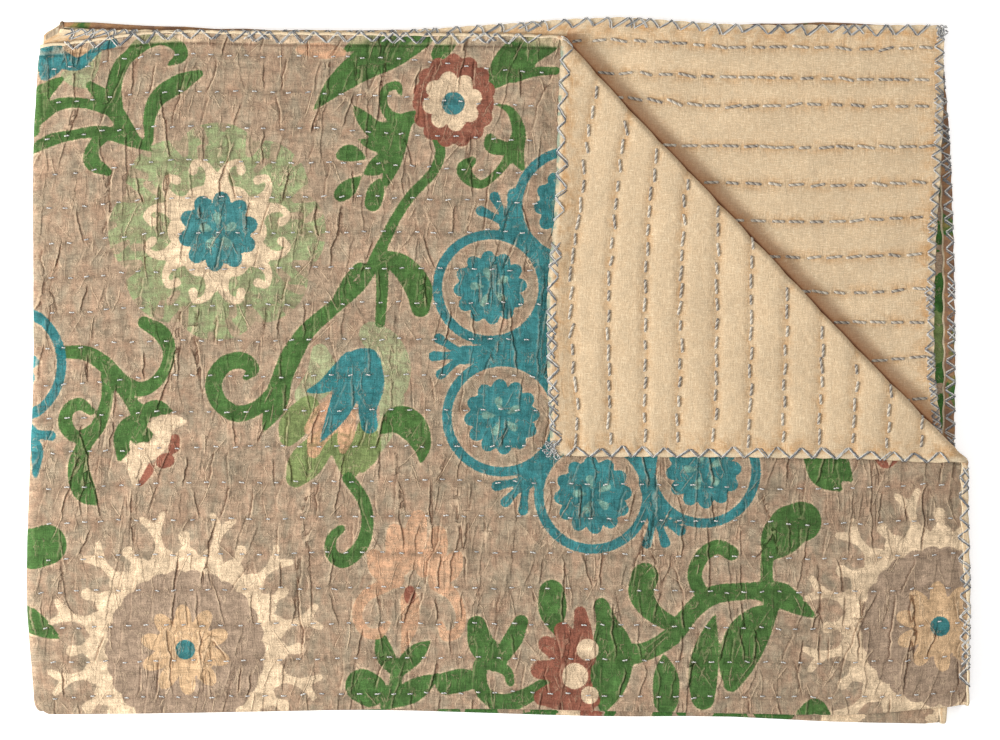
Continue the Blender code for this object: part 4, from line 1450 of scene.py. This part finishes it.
def plain_cotton(colours):
    """Unbleached slub cotton, plain woven and washed soft. Its uneven threads make a fine linen-like grain.
    It is warmer along the rows, the wash has left it warmer in a band inside the hems and paler at the rim,
    and the stitch dimples, the hem stitch's inner points and the slanting crease get painted shade. Where the
    hem rolls over the print it shows the print's own ground, darkened with painted shade. Matt. The threads
    are drawn at 1 mm, twice their real spacing, so that they show."""
    material, shader, add = start_material("plain slub cotton", 0.9)
    flat = add("Attribute", out="Vector", attribute_name="flat")
    row, edge, wave, pulled, past, bend_shade, rolled, lip = (
        add("Attribute", out="Fac", attribute_name=name)
        for name in ("row", "edge", "wave", "pulled", "past_crease", "crease_roll", "rolled", "lip")
    )
    lumps = partial(grain, add, flat)
    weft = lumps(8, 1, 2, 0.6, 0.1, 10)
    warp_threads = lumps(1, 8, 2, 0.6, 0.1, 20)
    speck = lumps(1.1, 1.1, 2, 0.8, 0, 30)
    cloud = lumps(55, 40, 3, 0.5, 0.4, 40)
    blotch = lumps(13, 10, 3, 0.6, 0.5, 50)
    gathers = lumps(4.5, 16, 2, 0.5, 0.8, 70)

    # warmer along the rows and in a band inside the hem stitch; painted shade at the hem stitch's inner
    # points and in the stitch dimples
    by_row = add("MapRange", (row, 1, 9, 0.50, 0))
    by_edge = add("MapRange", (edge, 8, 26, 0.75, 0))
    stain_and_shade = add("Math", (by_row, by_edge), operation="MAXIMUM")
    stain_and_shade = add("Math", (stain_and_shade, 0.12), operation="ADD")
    stain_and_shade = add("Math", (stain_and_shade, add("MapRange", (blotch, 0.36, 0.66))), operation="MULTIPLY")
    point_shade = add("MapRange", (wave, -0.3, -1, 0, 0.55))
    point_shade = add("Math", (point_shade, add("MapRange", (edge, 8, 17, 1, 0))), operation="MULTIPLY")
    stain_and_shade = add("Math", (stain_and_shade, point_shade), operation="MAXIMUM")
    stain_and_shade = add("Math", (pulled, 0.26, stain_and_shade), operation="MULTIPLY_ADD", use_clamp=True)
    shade = add("Mix", {0: stain_and_shade, 6: colours.back, 7: colours.back_stain_and_shade}, 2, data_type="RGBA")

    # its palest threads and rim, and the print that peeks out at the turned corner's rim
    threads = add("Math", (weft, warp_threads), operation="MAXIMUM")
    pale = add("MapRange", (threads, 0.56, 0.78, 0, 0.60))
    pale = add("Math", (pale, add("MapRange", (edge, 3, 6.5, 0.60, 0))), operation="MAXIMUM")
    place = add("SeparateXYZ", (flat,)).node.outputs
    at_top = add("Math", (place[1], 622), operation="GREATER_THAN")
    past_bend = add("Math", (place[0], 500), operation="GREATER_THAN")
    bits = add("MapRange", (lumps(12, 26, 2, 0.6, 0, 100), 0.46, 0.54))
    peeks = add("MapRange", (edge, 1.6, 3.8, 0.7, 0))
    for part in (at_top, past_bend, bits):
        peeks = add("Math", (peeks, part), operation="MULTIPLY")

    # the print's own ground on the rolled hem, darkened with painted shade, and the hem's frayed lip
    green = add("MapRange", (lumps(40, 40, 1, 0.5, 0, 90), 0.60, 0.62))
    ground = add("Mix", {0: green, 6: colours.rolled_print_shaded, 7: colours.leaf}, 2, data_type="RGBA")
    faded = add("MapRange", (blotch, 0.44, 0.62, 0, 0.45))
    ground = add("Mix", {0: faded, 6: ground, 7: colours.back_stain_and_shade}, 2, data_type="RGBA")
    frayed = add("MapRange", (lip, 0.6, 0.9, 0, 0.8))
    layers = ((pale, colours.back_pale), (peeks, colours.lace), (rolled, ground), (frayed, colours.back_pale))
    for cover, colour_over in layers:
        shade = add("Mix", {0: cover, 6: shade, 7: colour_over}, 2, data_type="RGBA")
    threads = ((weft, 0.87, 1.12), (warp_threads, 0.90, 1.09), (speck, 0.74, 1.24))
    shade = washed(add, shade, 0.28, 0.72, (*threads, (blotch, 0.94, 1.06), (cloud, 0.92, 1.08)))

    # painted shade: the turned corner's shadow on the leaf below, a dark line at the crease's edge, and shade
    # along its bend
    ragged = add("MapRange", (lumps(5, 5, 3, 0.7, 0, 110), 0, 1, -4, 4))
    fold_shadow_band = add("Math", (past, ragged), operation="ADD")
    fold_shadow_band = add("MapRange", (fold_shadow_band, 2, 20, 0.74, 0))
    fold_painted_shade = add("Math", (bend_shade, 0.5, fold_shadow_band), operation="MULTIPLY_ADD", use_clamp=True)
    # a thin line of painted shade where the crease meets the leaf below
    line = add("MapRange", (past, 1.6, 3.8, 0.95, 0))
    for cover, colour_over, blend in ((fold_painted_shade, colours.back_painted_shade, "MIX"), (line, colours.painted_crease_shade, "MULTIPLY")):
        shade = add("Mix", {0: cover, 6: shade, 7: colour_over}, 2, data_type="RGBA", blend_type=blend)
    near_row = add("MapRange", (row, 0, 9, 0.9, 0.25))
    gathered = add("Math", (gathers, near_row), operation="MULTIPLY")
    relief = ((weft, 0.14), (warp_threads, 0.14), (speck, 0.12), (blotch, 0.9), (gathered, 1.6))
    join_cotton(shader, add, shade, relief, 0.9, 0.2)
    return material


def cotton_thread(name, dark, light):
    """Doubled soft cotton, loosely plied: a matt strand, some lengths lighter. Its darker strands are partly
    the thread's own tone and partly painted shade of the thread's sides.
    """
    material, shader, add = start_material(name, 0.8)
    tone = add("Attribute", out="Fac", attribute_name="tone")
    shade = add("Mix", {0: tone, 6: (*dark, 1), 7: (*light, 1)}, 2, data_type="RGBA")
    material.node_tree.links.new(shade, shader.inputs["Base Color"])
    return material


# ---------------------------------------------------------------- stage


FLOOR_REACH = 4.0
FLOOR_LEVEL = -0.0004
VIEW_MIDDLE = (0.0019, -0.0004)
VIEW_LEVEL = 0.016  # the quilt's top, where the view's width is measured


def make_floor(colours):
    mesh = bpy.data.meshes.new("floor")
    corners = ((-1, -1), (1, -1), (1, 1), (-1, 1))
    corners = [(x * FLOOR_REACH, y * FLOOR_REACH, FLOOR_LEVEL) for x, y in corners]
    mesh.from_pydata(corners, [], [(0, 1, 2, 3)])
    floor = bpy.data.objects.new("floor", mesh)
    bpy.context.scene.collection.objects.link(floor)
    material, shader, _ = start_material("backlit white acrylic", 0.95)
    shader.inputs["Base Color"].default_value = (*colours.floor, 1)
    shader.inputs["Emission Color"].default_value = (1, 1, 1, 1)
    shader.inputs["Emission Strength"].default_value = 0.35
    mesh.materials.append(material)


def add_light(name, place, size, power):
    data = bpy.data.lights.new(name, "AREA")
    data.shape = "DISK"
    data.size = size
    data.energy = power
    light = bpy.data.objects.new(name, data)
    bpy.context.scene.collection.objects.link(light)
    light.location = place
    light.rotation_euler = (-Vector(place)).to_track_quat("-Z", "Y").to_euler()


def make_camera(sizes):
    data = bpy.data.cameras.new("camera")
    camera = bpy.data.objects.new("camera", data)
    bpy.context.scene.collection.objects.link(camera)
    data.lens = data.sensor_width * (sizes.camera_height - VIEW_LEVEL) / sizes.view_width
    camera.location = (*VIEW_MIDDLE, sizes.camera_height)
    bpy.context.scene.camera = camera


# ---------------------------------------------------------------- operators


class QUILT_OT_face(bpy.types.Operator):
    """Make the printed face cloth"""

    bl_idname = "quilt.face"
    bl_label = "Printed face"

    def execute(self, context):
        make_face_cloth(printed_cotton(context.scene.quilt_colours))
        return {"FINISHED"}


class QUILT_OT_back(bpy.types.Operator):
    """Make the plain back cloth with its turned hem"""

    bl_idname = "quilt.back"
    bl_label = "Plain back"

    def execute(self, context):
        make_back_cloth(plain_cotton(context.scene.quilt_colours))
        return {"FINISHED"}


class QUILT_OT_stitches(bpy.types.Operator):
    """Make the running stitches and the hem stitch"""

    bl_idname = "quilt.stitches"
    bl_label = "Stitches"

    def execute(self, context):
        colours = context.scene.quilt_colours
        sizes = context.scene.quilt_sizes
        thread = cotton_thread("grey-blue cotton thread", colours.thread, colours.thread_light)
        # each thread's dark tone is partly painted shade along its sides
        soft = cotton_thread("grey-brown cotton thread", linear("6A625C"), linear("D4C9B6"))
        pale = cotton_thread("pale cotton thread", linear("8C8B8A"), linear("E0DDD6"))
        face_stitches(pale, sizes.face_thread)
        back_stitches(soft, sizes.back_thread)
        hem_stitches(thread, sizes.hem_thread)
        corner_knots(thread, sizes.hem_thread)
        return {"FINISHED"}


class QUILT_OT_stage(bpy.types.Operator):
    """Make the floor, the light and the camera"""

    bl_idname = "quilt.stage"
    bl_label = "Stage"

    def execute(self, context):
        make_floor(context.scene.quilt_colours)
        make_camera(context.scene.quilt_sizes)
        add_light("soft top", (0.3, 0.4, 3.2), size=3.0, power=42)
        add_light("key from the left", (-2.3, -0.5, 1.25), size=0.8, power=98)
        world = bpy.data.worlds.new("white studio")
        context.scene.world = world
        world.use_nodes = True
        background = world.node_tree.nodes["Background"]
        background.inputs["Color"].default_value = (1, 1, 1, 1)
        background.inputs["Strength"].default_value = 0.45
        context.scene.view_settings.view_transform = "Standard"
        return {"FINISHED"}


class QUILT_PT_panel(bpy.types.Panel):
    bl_label = "Kantha quilt"
    bl_idname = "QUILT_PT_panel"
    bl_space_type = "VIEW_3D"
    bl_region_type = "UI"
    bl_category = "Quilt"

    def draw(self, context):
        for group in (context.scene.quilt_sizes, context.scene.quilt_colours):
            for name in group.__annotations__:
                self.layout.prop(group, name)
        for operator in OPERATORS:
            self.layout.operator(operator.bl_idname)


OPERATORS = (QUILT_OT_face, QUILT_OT_back, QUILT_OT_stitches, QUILT_OT_stage)
CLASSES = (QuiltColours, QuiltSizes, *OPERATORS, QUILT_PT_panel)


def register():
    for cls in CLASSES:
        bpy.utils.register_class(cls)
    bpy.types.Scene.quilt_colours = PointerProperty(type=QuiltColours)
    bpy.types.Scene.quilt_sizes = PointerProperty(type=QuiltSizes)


def unregister():
    del bpy.types.Scene.quilt_colours
    del bpy.types.Scene.quilt_sizes
    for cls in reversed(CLASSES):
        bpy.utils.unregister_class(cls)


def main():
    register()
    bpy.ops.quilt.face()
    bpy.ops.quilt.back()
    bpy.ops.quilt.stitches()
    bpy.ops.quilt.stage()


if __name__ == "__main__":
    main()
